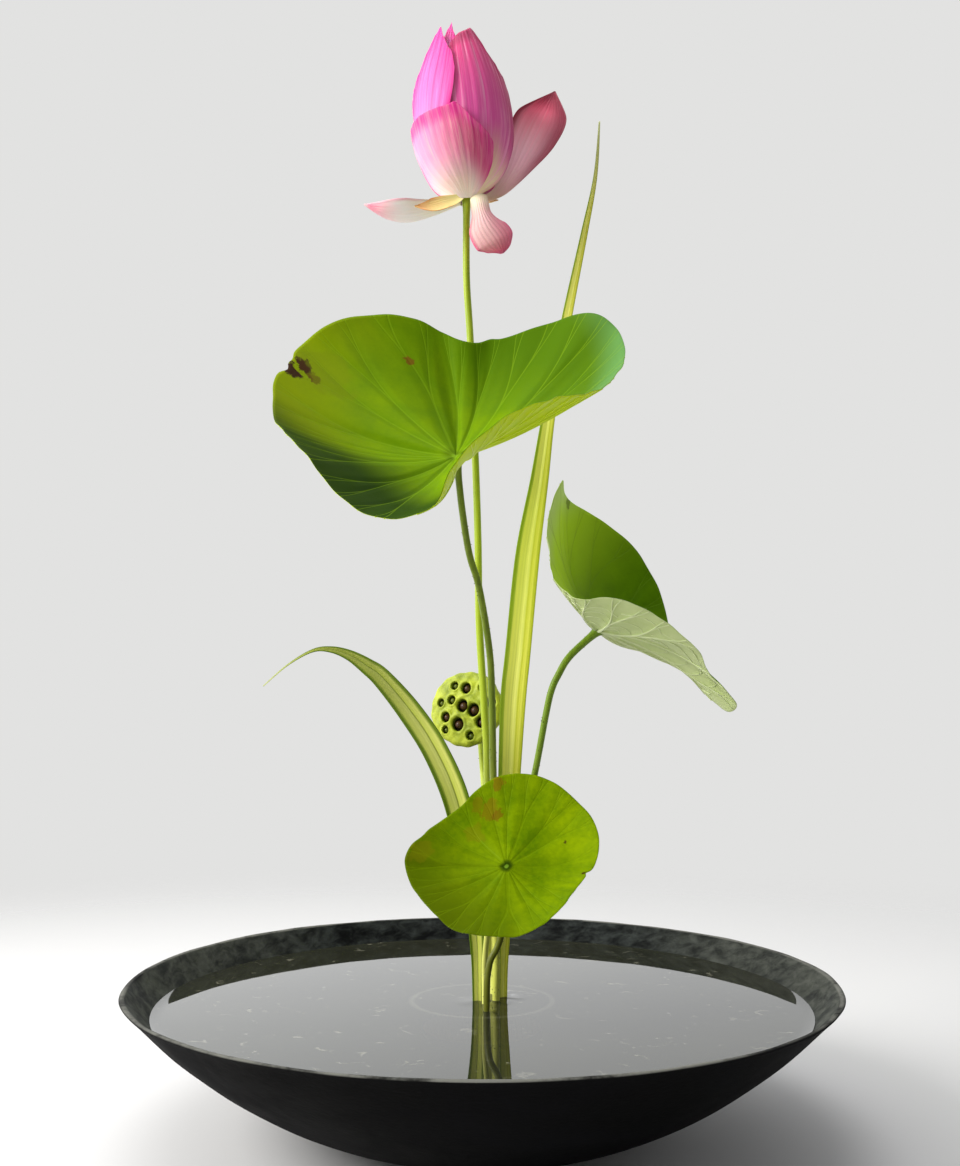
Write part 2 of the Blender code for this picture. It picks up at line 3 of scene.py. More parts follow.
import bmesh
import bpy
import numpy as np
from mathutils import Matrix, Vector


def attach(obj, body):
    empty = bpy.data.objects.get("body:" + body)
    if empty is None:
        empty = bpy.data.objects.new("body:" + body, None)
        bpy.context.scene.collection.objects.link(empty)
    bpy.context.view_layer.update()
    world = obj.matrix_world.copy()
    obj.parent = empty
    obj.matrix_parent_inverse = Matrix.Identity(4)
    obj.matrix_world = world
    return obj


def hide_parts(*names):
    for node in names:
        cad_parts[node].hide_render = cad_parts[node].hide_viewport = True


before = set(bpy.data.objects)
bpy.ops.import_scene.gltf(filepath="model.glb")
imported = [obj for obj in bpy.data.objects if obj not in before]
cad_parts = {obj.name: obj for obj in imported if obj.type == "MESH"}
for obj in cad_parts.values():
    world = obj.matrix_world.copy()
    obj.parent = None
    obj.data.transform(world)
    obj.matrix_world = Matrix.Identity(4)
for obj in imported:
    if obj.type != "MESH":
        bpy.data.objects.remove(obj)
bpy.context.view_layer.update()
mm = 0.001                       # pieces are drawn in millimetres, meshes are in metres
scene = bpy.context.scene
board = {}                       # the node tree that is being wired


def tone(red, green, blue):      # screen colour, 0 to 255, as a shader colour
    return tuple((c / 255 / 12.92) if c <= 10 else ((c / 255 + 0.055) / 1.055) ** 2.4
                 for c in (red, green, blue)) + (1.0,)


def smooth(low, high, x):
    t = np.clip((np.asarray(x, float) - low) / (high - low), 0, 1)
    return t * t * (3 - 2 * t)


def through(knots, t, closed=False):   # smooth curve through the knots, t from 0 to 1
    count = len(knots)
    spans = count if closed else count - 1
    at = min(max(t, 0.0), 1.0) * spans
    i = min(int(at), spans - 1)
    f = at - i
    near = [knots[k % count if closed else min(max(k, 0), count - 1)] for k in range(i - 1, i + 3)]
    return tuple(0.5 * (2 * q + (r - p) * f + (2 * p - 5 * q + 4 * r - s) * f * f
                        + (3 * q - p - 3 * r + s) * f ** 3) for p, q, r, s in zip(*near))


def curvePoints(knots, steps, closed=False):
    return [through(knots, i / steps, closed) for i in range(steps if closed else steps + 1)]


def lookup(table, x):            # smooth curve through (x, value) pairs, without overshoot
    xs, ys = (np.array(column, float) for column in zip(*table))
    rises = np.diff(ys) / np.diff(xs)
    before, after = np.append(rises[0], rises), np.append(rises, rises[-1])
    slopes = np.where(before * after > 0, np.gradient(ys, xs), 0)
    most = 3 * np.minimum(np.abs(before), np.abs(after))
    slopes = np.clip(slopes, -most, most)
    x = np.clip(x, xs[0], xs[-1])
    i = np.clip(np.searchsorted(xs, x) - 1, 0, len(xs) - 2)
    span = xs[i + 1] - xs[i]
    t = (x - xs[i]) / span
    return (ys[i] * (1 + 2 * t) * (1 - t) ** 2 + ys[i + 1] * t ** 2 * (3 - 2 * t)
            + span * (slopes[i] * t * (1 - t) ** 2 - slopes[i + 1] * t ** 2 * (1 - t)))


def unit(v):
    return v / np.maximum(np.linalg.norm(v, axis=-1, keepdims=True), 1e-9)


def addObject(name, data):
    item = bpy.data.objects.new(name, data)
    scene.collection.objects.link(item)
    return item


# Node trees: a call adds a node to the tree on the board, and wires or sets what feeds it

def wire(value, socket):
    if isinstance(value, bpy.types.NodeSocket):
        board["tree"].links.new(value, socket)
    else:
        socket.default_value = value


def node(kind, feeds=(), out=0, **settings):
    made = board["tree"].nodes.new(kind)
    for key, value in settings.items():
        setattr(made, key, value)
    for key, value in dict(feeds).items():
        wire(value, made.inputs[key])
    return made.outputs if out is None else made.outputs[out]


def geo(kind, feeds=(), out=0, **settings):
    return node("GeometryNode" + kind, feeds, out, **settings)


def calc(operation, a, b=0.0, c=0.0):
    return node("ShaderNodeMath", {0: a, 1: b, 2: c}, operation=operation)


def times(a, *others):
    for b in others:
        a = calc("MULTIPLY", a, b)
    return a


def plus(a, b):
    return calc("ADD", a, b)


def minus(a, b):
    return calc("SUBTRACT", a, b)


def vec(operation, a, b=(0, 0, 0), out=0, scale=1.0):
    return node("ShaderNodeVectorMath", {0: a, 1: b, 3: scale}, out, operation=operation)


def length(vector):
    return vec("LENGTH", vector, out=1)


def split(vector):
    return node("ShaderNodeSeparateXYZ", {0: vector}, None)


def xyz(x=0.0, y=0.0, z=0.0):
    return node("ShaderNodeCombineXYZ", {0: x, 1: y, 2: z})


def fade(value, low, high, start=0.0, end=1.0):
    return node("ShaderNodeMapRange", {0: value, 1: low, 2: high, 3: start, 4: end},
                interpolation_type="SMOOTHSTEP")


def mix(share, a, b):
    return node("ShaderNodeMix", {0: share, 6: a, 7: b}, 2, data_type="RGBA")


def noise(vector, scale, detail=3.0, rough=0.5, warp=0.0):
    return node("ShaderNodeTexNoise", {"Vector": vector, "Scale": scale, "Detail": detail,
                                       "Roughness": rough, "Distortion": warp})


def stretch(vector, *scale):
    return node("ShaderNodeMapping", {"Vector": vector, "Scale": scale})


def bump(height, distance, strength):
    return node("ShaderNodeBump", {"Height": height, "Distance": distance, "Strength": strength})


def objectPlace():
    return node("ShaderNodeTexCoord", out="Object")


def newGroup(name, takes, gives, kind="ShaderNodeTree"):     # sockets as "Label Type, Label Type"
    tree = board["tree"] = bpy.data.node_groups.new(name, kind)
    for way, sockets in (("INPUT", takes), ("OUTPUT", gives)):
        for socket in sockets.split(", "):
            label, what = socket.rsplit(" ", 1)
            tree.interface.new_socket(label, in_out=way, socket_type="NodeSocket" + what)
    return tree, tree.nodes.new("NodeGroupInput").outputs, tree.nodes.new("NodeGroupOutput").inputs


def useGroup(group, feeds):
    return node("ShaderNodeGroup", feeds, None, node_tree=group)


def newMaterial(name, values):
    made = bpy.data.materials.new(name)
    made.use_nodes = True
    board["tree"] = made.node_tree
    skin = made.node_tree.nodes["Principled BSDF"].inputs
    for label, value in values.items():
        skin[label].default_value = value
    return made, skin


def plainFinish(name, roughness, *colour):
    return newMaterial(name, {"Base Color": tone(*colour), "Roughness": roughness})[0]


def dress(skin, colour, rough=None, normal=None):
    for label, value in (("Base Color", colour), ("Roughness", rough), ("Normal", normal)):
        if value is not None:
            wire(value, skin[label])


# camera, soft lights and pale floor
stageSizes = dict(
    cameraAt=(-0.0015, -0.878, 0.2896), pitch=6.36, lens=36.65,
    lights=dict(window=((-1.9, -0.8, 1.5), 1.3, 66, (1.0, 0.985, 0.96)),       # place, width, power, colour
                ceiling=((-0.3, -0.2, 2.4), 1.6, 14, (1.0, 1.0, 1.0))),
    aim=(0, 0, 0.35), floorRadius=1.6, floorFade=(0.55, 1.5), floorSides=96,
    floorColour=(0.74, 0.735, 0.73, 1))


def makeRoom():
    world = scene.world = bpy.data.worlds.new("room")
    world.use_nodes = True
    board["tree"] = world.node_tree
    sky = world.node_tree.nodes["Background"].inputs
    x, y = split(node("ShaderNodeTexCoord", out="Generated"))[:2]
    side = fade(x, -0.9, 0.9, 1.05, 0.42)                # the window's side is brighter
    behind = fade(y, -0.7, 0.35, 0.5, 1.22)              # the wall behind is bright, the room is not
    path = node("ShaderNodeLightPath", out=None)
    seen = path["Is Camera Ray"]
    mirrored = plus(1.0, times(path["Is Glossy Ray"], 0.65))       # the lit wall, in reflections
    level = times(side, behind, mirrored)
    wire(mix(seen, (0.93, 0.94, 0.95, 1), tone(226, 226, 225)), sky["Color"])
    wire(plus(times(level, minus(1.0, seen)), seen), sky["Strength"])


def makeStage(s):
    camera = scene.camera = addObject("camera", bpy.data.cameras.new("camera"))
    camera.location = s["cameraAt"]
    camera.rotation_euler = (radians(90 + s["pitch"]), 0, 0)
    camera.data.lens = s["lens"]
    camera.data.sensor_width = 36
    camera.data.clip_start = 0.01
    for name, (at, width, power, colour) in s["lights"].items():
        light = bpy.data.lights.new(name, "AREA")
        light.shape, light.size, light.energy, light.color = "DISK", width, power, colour
        lamp = addObject(name, light)
        lamp.location = at
        lamp.rotation_euler = (Vector(s["aim"]) - Vector(at)).to_track_quat("-Z", "Y").to_euler()
    makeRoom()

    sides = s["floorSides"]
    turns = [2 * pi * k / sides for k in range(sides)]
    points = [(0, 0, 0)] + [(s["floorRadius"] * cos(t), s["floorRadius"] * sin(t), 0) for t in turns]
    mesh = bpy.data.meshes.new("floor")
    mesh.from_pydata(points, [], [(0, 1 + k, 1 + (k + 1) % sides) for k in range(sides)])
    floor = addObject("floor", mesh)
    paint, skin = newMaterial("paleFloor", {"Base Color": s["floorColour"], "Roughness": 0.85})
    wire(fade(length(objectPlace()), *s["floorFade"], 1.0, 0.0), skin["Alpha"])
    mesh.materials.append(paint)
    scene.view_settings.view_transform = "Standard"
    print("stage set")


makeStage(stageSizes)


# meshes, from grids of points in millimetres

def meshPiece(name, points, faces, materials, flat=None, slots=None, edge=60):
    mesh = bpy.data.meshes.new(name)
    mesh.from_pydata((np.asarray(points, float) * mm).tolist(), [], [tuple(int(i) for i in f) for f in faces])
    for paint in materials:
        mesh.materials.append(paint)
    if slots is not None:
        mesh.polygons.foreach_set("material_index", np.asarray(slots, np.int32))
    if flat is not None:
        layer = mesh.uv_layers.new(name="flat")
        corner = np.zeros(len(mesh.loops), np.int32)
        mesh.loops.foreach_get("vertex_index", corner)
        layer.data.foreach_set("uv", np.asarray(flat, np.float32)[corner].ravel())
    shape = bmesh.new()
    shape.from_mesh(mesh)
    bmesh.ops.recalc_face_normals(shape, faces=shape.faces)
    shape.to_mesh(mesh)
    shape.free()
    mesh.shade_smooth()
    mesh.set_sharp_from_angle(angle=radians(edge))
    return addObject(name, mesh)


def settle(piece, slot, *cadNodes):
    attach(piece, "root")
    if cadNodes:
        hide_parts(*cadNodes)


def sheetNormals(grid, wrap):
    across = np.roll(grid, -1, 1) - np.roll(grid, 1, 1) if wrap else np.gradient(grid, axis=1)
    return unit(np.cross(across, np.gradient(grid, axis=0)))


def quads(index, wrap):
    if wrap:
        index = np.concatenate([index, index[:, :1]], axis=1)
    return np.stack([index[:-1, :-1], index[:-1, 1:], index[1:, 1:], index[1:, :-1]], -1).reshape(-1, 4)


def closedSheet(name, grid, thick, flat, materials, wrap=False):
    rows, cols = grid.shape[:2]
    total = rows * cols
    depth = np.broadcast_to(thick, (rows, cols))
    lift = sheetNormals(grid, wrap) * (depth[..., None] / 2)
    index = np.arange(total).reshape(rows, cols)
    points = [(grid + lift).reshape(-1, 3), (grid - lift).reshape(-1, 3)]
    flats = [flat.reshape(-1, 2)] * 2
    upper = quads(index, wrap)
    faces = upper.tolist() + (upper[:, ::-1] + total).tolist()
    slots = [0] * len(upper) + [1] * len(upper)
    first = 2 * total
    if wrap:                     # a disc, closed at its middle
        rim, inner = index[-1], index[-2]
        centre, middle = grid[0].mean(0), lift[0].mean(0)
        points.append([centre + middle, centre - middle])
        flats.append([flat[0].mean(0)] * 2)
        for a, b in zip(index[0], np.roll(index[0], -1)):
            faces += [(first, a, b), (first + 1, b + total, a + total)]
            slots += [0, 1]
        first += 2
    else:
        within = index[np.clip(np.arange(rows), 1, rows - 2)][:, np.clip(np.arange(cols), 1, cols - 2)]
        rim, inner = (np.concatenate([m[0], m[1:, -1], m[-1, -2::-1], m[-2:0:-1, 0]])
                      for m in (index, within))
    spots = grid.reshape(-1, 3)
    outwards = unit(spots[rim] - spots[inner])
    points.append(spots[rim] + outwards * (depth.reshape(-1)[rim] * 0.4)[:, None])
    flats.append(flat.reshape(-1, 2)[rim])
    for k in range(len(rim)):
        j = (k + 1) % len(rim)
        a, b = rim[k], rim[j]
        faces += [(a, b, first + j, first + k), (first + k, first + j, b + total, a + total)]
        slots += [0, 1]
    return meshPiece(name, np.concatenate(points), faces, materials, np.concatenate(flats),
                     slots if len(materials) > 1 else None)


def ringSolid(name, grid, ends, materials, edge=60):     # rings of points, closed at both ends
    count, sides = grid.shape[:2]
    total = count * sides
    index = np.arange(total).reshape(count, sides)
    faces = quads(index, True).tolist()
    faces += [(total, b, a) for a, b in zip(index[0], np.roll(index[0], -1))]
    faces += [(total + 1, a, b) for a, b in zip(index[-1], np.roll(index[-1], -1))]
    return meshPiece(name, np.concatenate([grid.reshape(-1, 3), ends]), faces, materials, edge=edge)


# a shape turned round, from an outline of (height, radius)
def revolve(name, outline, materials, sides=96, edge=40, shift=lambda grid: grid):
    outline = np.asarray(outline, float)
    turn = 2 * pi * np.arange(sides) / sides
    grid = shift(np.stack([outline[:, None, 1] * np.cos(turn), outline[:, None, 1] * np.sin(turn),
                           np.repeat(outline[:, :1], sides, 1)], -1))
    return ringSolid(name, grid, [grid[0].mean(0), grid[-1].mean(0)], materials, edge)


# Geometry Nodes: a tree is built once, run on an input object, and its result kept as a plain mesh

def newTree(name, takes):
    return newGroup(name, "Geometry Geometry, " + takes, "Geometry Geometry", "GeometryNodeTree")


def runTree(source, tree, values, name):
    run = source.modifiers.new("build", "NODES")
    run.node_group = tree
    keys = {item.name: item.identifier for item in tree.interface.items_tree
            if item.item_type == "SOCKET" and item.in_out == "INPUT"}
    for label, value in values.items():
        run[keys[label]] = value
    bpy.context.view_layer.update()
    ready = source.evaluated_get(bpy.context.evaluated_depsgraph_get())
    mesh = bpy.data.meshes.new_from_object(ready)
    mesh.name = name
    source.modifiers.remove(run)
    bpy.data.objects.remove(source, do_unlink=True)
    return addObject(name, mesh)


def startObject(name, points=()):
    mesh = bpy.data.meshes.new(name)
    mesh.from_pydata([tuple(c * mm for c in p) for p in points], [], [])
    return addObject(name, mesh)


def pathObject(name, routes):    # routes of (x, y, z, radius) in millimetres, as one curve object
    curve = bpy.data.curves.new(name, "CURVE")
    curve.dimensions = "3D"
    for route in routes:
        spline = curve.splines.new("POLY")
        spline.points.add(len(route) - 1)
        for point, row in zip(spline.points, route):
            point.co = (row[0] * mm, row[1] * mm, row[2] * mm, 1)
            point.radius = row[3] * mm
    return addObject(name, curve)


def joined(*parts):
    made = board["tree"].nodes.new("GeometryNodeJoinGeometry")
    for part in parts:
        wire(part, made.inputs[0])
    return made.outputs[0]


def painted(geometry, finish):
    return geo("SetMaterial", {"Geometry": geometry, "Material": finish})


def moved(geometry, **how):
    return geo("Transform", {"Geometry": geometry, **how})


def real(geometry):
    return geo("RealizeInstances", {"Geometry": geometry})


def tubeAlong(path, sides):
    ring = geo("CurvePrimitiveCircle", {"Resolution": sides, "Radius": 1.0})
    return geo("CurveToMesh", {"Curve": path, "Profile Curve": ring, "Fill Caps": True,
                               "Scale": geo("InputRadius")})


# finishes shared by several pieces

def mottleGroup():
    tree, take, give = newGroup("mottle", "Place Vector, Size Float, Light Color, Dark Color, Contrast Float",
                                "Colour Color, Height Float")
    wide = noise(take["Place"], take["Size"], 4, 0.55, 0.3)
    fine = noise(take["Place"], times(take["Size"], 9.0), 2, 0.6)
    both = plus(times(wide, 0.75), times(fine, 0.25))
    share = plus(times(minus(both, 0.5), take["Contrast"]), 0.5)
    share.node.use_clamp = True
    wire(mix(share, take["Dark"], take["Light"]), give["Colour"])
    wire(both, give["Height"])
    return tree


def spotGroup():                 # a ragged spot at one place, as a mask
    tree, take, give = newGroup("raggedSpot",
                                "Place Vector, Centre Vector, Radius Float, Ragged Float, Grain Float",
                                "Mask Float")
    away = vec("DISTANCE", take["Place"], take["Centre"], out=1)
    rough = minus(noise(take["Place"], take["Grain"], 4, 0.65), 0.5)
    reach = plus(calc("DIVIDE", away, take["Radius"]), times(rough, take["Ragged"]))
    wire(fade(reach, 0.8, 1.1, 1.0, 0.0), give["Mask"])
    return tree


mottle = mottleGroup()
raggedSpot = spotGroup()


def mottled(place, size, light, dark, contrast):
    return useGroup(mottle, {"Place": place, "Size": size, "Light": light, "Dark": dark,
                             "Contrast": contrast})


def mottledFinish(name, light, dark, size, roughness):
    paint, skin = newMaterial(name, {"Roughness": roughness})
    dress(skin, mottled(objectPlace(), size, tone(*light), tone(*dark), 2.0)["Colour"])
    return paint


print("shared finishes ready")

bowlSizes = dict(rim=250.0, height=105.0, sphere=330.0, wall=3.0, innerFlat=78.0, sides=288, rings=34,
                 waver=0.7, dents=0.35, skin=(2.4, 2.0))         # skin: depths between inner and outer finish
dishCentre = bowlSizes["height"] + sqrt(bowlSizes["sphere"] ** 2 - bowlSizes["rim"] ** 2)


def dishHeight(radius, inset=0.0):
    return dishCentre - sqrt((bowlSizes["sphere"] - inset) ** 2 - radius ** 2)


def dishRadius(height, inset=0.0):
    return sqrt((bowlSizes["sphere"] - inset) ** 2 - (dishCentre - height) ** 2)


def ironFinish(s):
    paint, skin = newMaterial("agedIron", {"Specular IOR Level": 0.04})
    at = objectPlace()
    x, y, z = split(at)
    level = xyz(x, y)
    # streaks run down the wall and lean a little to one side
    lean = node("ShaderNodeVectorRotate", {"Vector": vec("NORMALIZE", level), "Angle": times(z, 2.2)},
                rotation_type="Z_AXIS")
    streaks = noise(vec("ADD", lean, xyz(z=times(z, 9.0))), 17, 6, 0.62, 0.4)
    clouds = noise(at, 14, 5, 0.6, 0.6)
    grain = noise(at, 420, 3, 0.6)
    reach = plus(calc("POWER", length(level), 2.0), calc("POWER", minus(z, dishCentre * mm), 2.0))
    within, without = (((s["sphere"] - depth) * mm) ** 2 for depth in s["skin"])
    inside = fade(reach, within, without, 1.0, 0.0)
    worn = plus(times(streaks, 0.7), times(clouds, 0.5))
    inner = mix(fade(worn, 0.44, 0.84), tone(5, 6, 6), tone(58, 62, 60))
    ends = fade(calc("ABSOLUTE", x), 0.12, 0.24, 0.0, 0.7)         # paler at the two ends: painted light on the inner wall there
    inner = mix(ends, inner, mix(fade(worn, 0.4, 0.8), tone(36, 39, 37), tone(96, 98, 90)))
    outer = mix(fade(clouds, 0.35, 0.75), tone(0, 0, 0), tone(10, 10, 12))
    # a pale line all round the rim's top: worn metal, and also a painted highlight on the rim's edge
    rimWearAndHighlight = times(fade(z, (s["height"] - 1.6) * mm, (s["height"] - 0.7) * mm),
                   fade(noise(at, 30, 5, 0.7), 0.30, 0.58))
    dress(skin, mix(rimWearAndHighlight, mix(inside, outer, inner), tone(112, 112, 106)),
          fade(clouds, 0.3, 0.7, 0.62, 0.8),
          bump(plus(times(streaks, 0.6), times(grain, 0.4)), 0.0009, 0.5))
    return paint


def makeBowl(s):
    foot = dishRadius(0)
    inner = dishRadius(s["height"], s["wall"])
    outside = np.linspace(foot, s["rim"], s["rings"] + 1)[1:-1]
    inside = np.linspace(inner, s["innerFlat"], s["rings"] + 1)[1:-1]
    outline = [(0, foot * 0.5), (0, foot * 0.97)] + [(dishHeight(r), r) for r in outside]
    outline += [(s["height"] - 0.9, s["rim"] - 0.05), (s["height"] - 0.15, s["rim"] - 0.7),
                (s["height"], (s["rim"] + inner) / 2), (s["height"] - 0.2, inner + 0.5),
                (s["height"] - 0.9, inner - 0.4)]
    outline += [(dishHeight(r, s["wall"]), r) for r in inside]
    outline += [(s["wall"], s["innerFlat"]), (s["wall"], s["innerFlat"] * 0.5)]

    def shift(grid):             # the rim wavers and the wall has shallow dents, as a hand-worked bowl has
        turn = np.arctan2(grid[..., 1], grid[..., 0])
        high = smooth(0.55, 1.0, grid[..., 2] / s["height"])
        wave = sum(size * np.sin(waves * turn + start) for waves, start, size in
                   ((3, 0.6, 0.45), (5, 2.1, 0.3), (11, 1.0, 0.2), (23, 0.4, 0.12), (41, 1.9, 0.07)))
        grid[..., 2] += (wave - 1) * s["waver"] * high
        dent = np.sin(7 * turn + grid[..., 2] * 0.09) * np.sin(13 * turn - grid[..., 2] * 0.13 + 1)
        dent = dent * smooth(0.1, 0.5, grid[..., 2] / s["height"]) - 1
        reach = np.hypot(grid[..., 0], grid[..., 1])
        grid[..., :2] *= (1 + dent * s["dents"] / np.maximum(reach, 1))[..., None]
        return grid

    settle(revolve("bowl", outline, [ironFinish(s)], s["sides"], 50, shift), "black_iron", "iron_bowl")


makeBowl(bowlSizes)
print("bowl made")

waterSizes = dict(level=87.0, soak=0.7, rings=46, wallRings=21, sides=240, meniscus=0.9, climb=2.2,
                  ringSeen=(47, 50, 54))
stemFeet = ((3, 5, 3.2), (11, -4, 3.0), (4, -34, 2.6), (2, -13, 2.5), (9, 16, 2.8), (15.5, 6, 4),
            (-3, -3, 4.5))


def waterFinish(s):
    paint, skin = newMaterial("pondWater", {"Roughness": 0.02, "IOR": 1.345, "Transmission Weight": 0.45})
    at = objectPlace()
    flecks = fade(noise(at, 75, 4, 0.55, 1.2), 0.62, 0.72)
    murk = mix(noise(at, 9, 3, 0.5, 0.5), tone(40, 43, 32), tone(64, 65, 50))
    x, y = split(at)[:2]
    reach = length(xyz(x, y))
    near, middle, far = (radius * mm for radius in s["ringSeen"])
    ring = times(fade(reach, near, middle), fade(reach, middle, far, 1.0, 0.0))
    murk = mix(times(ring, 0.3), murk, tone(150, 150, 132))        # the holder's rim, dimly seen
    dress(skin, mix(times(flecks, 0.6), murk, tone(170, 168, 146)),
          normal=bump(noise(at, 26, 2, 0.5), 0.0004, 0.04))
    return paint


def makeWater(s):
    wall, floor = bowlSizes["wall"], bowlSizes["innerFlat"]
    edge = dishRadius(s["level"], wall) + s["soak"]
    outline = [(s["level"], edge * (i / s["rings"]) ** 0.8) for i in range(1, s["rings"] + 1)]
    outline += [(dishHeight(r, wall) - s["soak"], r) for r in np.linspace(edge, floor, s["wallRings"])[1:-1]]
    outline += [(wall - s["soak"], floor), (wall - s["soak"], floor * 0.5)]

    def shift(grid):             # water climbs a little at the stems and at the wall
        x, y, z = np.moveaxis(grid, -1, 0)
        away = [np.maximum(np.hypot(x - a, y - b) - r, 0) / s["climb"] for a, b, r in stemFeet]
        away.append((edge - np.hypot(x, y)) / 2.0)
        rise = s["meniscus"] * np.exp(-np.min(away, 0))
        grid[..., 2] += np.where(z > s["level"] - 0.01, rise, 0)
        return grid

    settle(revolve("waterBody", outline, [waterFinish(s)], s["sides"], 50, shift), "water", "water")


makeWater(waterSizes)
print("water made")

holderSizes = dict(radius=43.0, bottom=3.4, top=15.4, bevel=1.5, plate=1.2, pinHeight=13.0, pinRadius=0.75,
                   pitch=3.6, clearance=4.2, gap=0.4)


def metalFinish(name, light, dark, roughness, metallic):
    paint, skin = newMaterial(name, {"Metallic": metallic})
    coat = mottled(objectPlace(), 60.0, tone(*light), tone(*dark), 2.2)
    dress(skin, coat["Colour"], fade(coat["Height"], 0.3, 0.7, roughness - 0.1, roughness + 0.12),
          bump(coat["Height"], 0.0005, 0.5))
    return paint


def pinTree():
    tree, take, give = newTree("pinField", "Radius Float, Pitch Float, Clearance Float, Pin height Float, "
                               "Pin radius Float, Plate Float, Foot Float, Finish Material")

    def keep(points, value, operation, limit):           # drops the points that fail
        test = node("FunctionNodeCompare", {0: value, 1: limit}, operation=operation)
        return geo("DeleteGeometry", {"Geometry": points, "Selection": test})

    across = times(take["Radius"], 2.0)
    count = plus(calc("FLOOR", calc("DIVIDE", across, take["Pitch"])), 1.0)
    field = geo("MeshGrid", {"Size X": across, "Size Y": across, "Vertices X": count, "Vertices Y": count})
    away = length(geo("InputPosition"))
    disc = keep(field, away, "GREATER_THAN", minus(take["Radius"], 0.002))
    near = geo("Proximity", {"Geometry": take["Geometry"]}, "Distance", target_element="POINTS")
    free = keep(disc, near, "LESS_THAN", take["Clearance"])
    pin = geo("MeshCone", {"Vertices": 7, "Side Segments": 1, "Fill Segments": 1, "Radius Top": 0.00008,
                           "Radius Bottom": take["Pin radius"], "Depth": take["Pin height"]})
    pins = geo("InstanceOnPoints", {"Points": free, "Instance": pin})
    plate = geo("MeshCylinder", {"Vertices": 96, "Radius": minus(take["Radius"], 0.001),
                                 "Depth": take["Plate"]})
    low = moved(plate, Translation=xyz(z=times(take["Plate"], -0.5)))
    placed = moved(joined(pins, low), Translation=xyz(z=take["Foot"]))
    wire(painted(real(placed), take["Finish"]), give["Geometry"])
    return tree


def makeHolder(s):
    low, high, r, b = s["bottom"], s["top"], s["radius"], s["bevel"]
    outline = [(low, r * 0.5), (low, r - b), (low + b * 0.3, r - b * 0.3), (low + b, r), (high - b, r),
               (high - b * 0.3, r - b * 0.3), (high, r - b), (high, r * 0.5)]
    lead = metalFinish("dullLead", (110, 112, 116), (62, 64, 68), 0.5, 0.7)
    settle(revolve("holderBase", outline, [lead]), "lead", "holder_base")
    source = startObject("feet", [(x, y, 0) for x, y, r in stemFeet])
    brass = metalFinish("pinBrass", (206, 170, 96), (140, 108, 52), 0.35, 1.0)
    pins = runTree(source, pinTree(), {
        "Radius": s["radius"] * mm, "Pitch": s["pitch"] * mm, "Clearance": s["clearance"] * mm,
        "Pin height": s["pinHeight"] * mm, "Pin radius": s["pinRadius"] * mm, "Plate": s["plate"] * mm,
        "Foot": (s["top"] + s["gap"] + s["plate"]) * mm, "Finish": brass}, "holderPins")
    settle(pins, "brass_pins", "holder_pins")


makeHolder(holderSizes)
print("pin holder made")

stems = {
    "flower_stem": dict(
        route=((3, 5, 17.4), (3, 4, 90), (4, 4, 132), (4, 6, 247), (2, 8, 290), (-2, 11, 357), (-3, 12, 420),
               (-5, 13, 483), (-9, 14, 578), (-12, 14, 630), (-12, 14, 694)),
        radii=((0, 2.9), (0.95, 2.7), (0.985, 3.4), (1, 4.6)), finish="paleStem", prickles=0.0),
    "large_leaf_stalk": dict(
        route=((11, -4, 17.4), (10, -4, 90), (10, -5, 131), (8, -10, 250), (7, -17, 306), (5, -25, 338),
               (-2, -40, 379), (-9, -53, 402), (-14, -66, 432), (-17.5, -74, 465)),
        radii=((0, 2.7), (0.93, 2.4), (0.98, 3.2), (1, 5.0)), finish="shadedStem", prickles=1.0),
    "right_leaf_stalk": dict(
        route=((4, -34, 17.4), (3, -34, 90), (5, -32, 118), (13, -31, 137), (24, -32, 193), (37, -34, 249),
               (45, -35, 290), (49, -35, 307), (54, -34, 318), (63, -32, 332), (83, -30, 350)),
        radii=((0, 2.2), (0.93, 2.6), (0.98, 3.2), (1, 4.4)), finish="darkStem", prickles=0.6),
    "small_leaf_stalk": dict(
        route=((2, -12, 17.4), (2, -13, 90), (2, -17, 118), (5, -31, 146), (11, -54, 172), (16, -78, 190)),
        radii=((0, 2.1), (0.93, 2.0), (1, 3.4)), finish="paleStem", prickles=0.3),
    "seed_pod_stem": dict(
        route=((10, 15, 17.4), (8, 17, 90), (6, 26, 150), (3, 42, 215), (0, 66, 256), (-2, 80, 276),
               (-6, 77, 287), (-10, 68, 289)),
        radii=((0, 2.4), (0.9, 2.4), (1, 3.4)), finish="paleStem", prickles=0.3),
}
stemSizes = dict(rings=220, sides=20, prickleEvery=30000.0, prickleHeight=0.8, prickleRadius=0.28,
                 tones=dict(paleStem=((186, 202, 52), (130, 154, 22), (252, 252, 140)),   # light, dark, foot
                            shadedStem=((128, 146, 34), (78, 96, 12), (232, 234, 112)),
                            darkStem=((124, 152, 30), (84, 112, 14), (104, 100, 30))))


def stemFinish(name, light, dark, foot):
    paint, skin = newMaterial(name, {"Roughness": 0.42, "Specular IOR Level": 0.25})
    at = objectPlace()
    coat = mottled(stretch(at, 1, 1, 0.06), 260.0, tone(*light), tone(*dark), 2.0)
    low = fade(split(at)[2], 0.09, 0.30, 1.0, 0.0)
    body = mix(times(low, 0.8), coat["Colour"], tone(*foot))
    specks = fade(noise(at, 900, 2, 0.5), 0.66, 0.74)
    dress(skin, mix(times(specks, 0.35), body, tone(70, 74, 20)), normal=bump(coat["Height"], 0.0004, 0.4))
    return paint


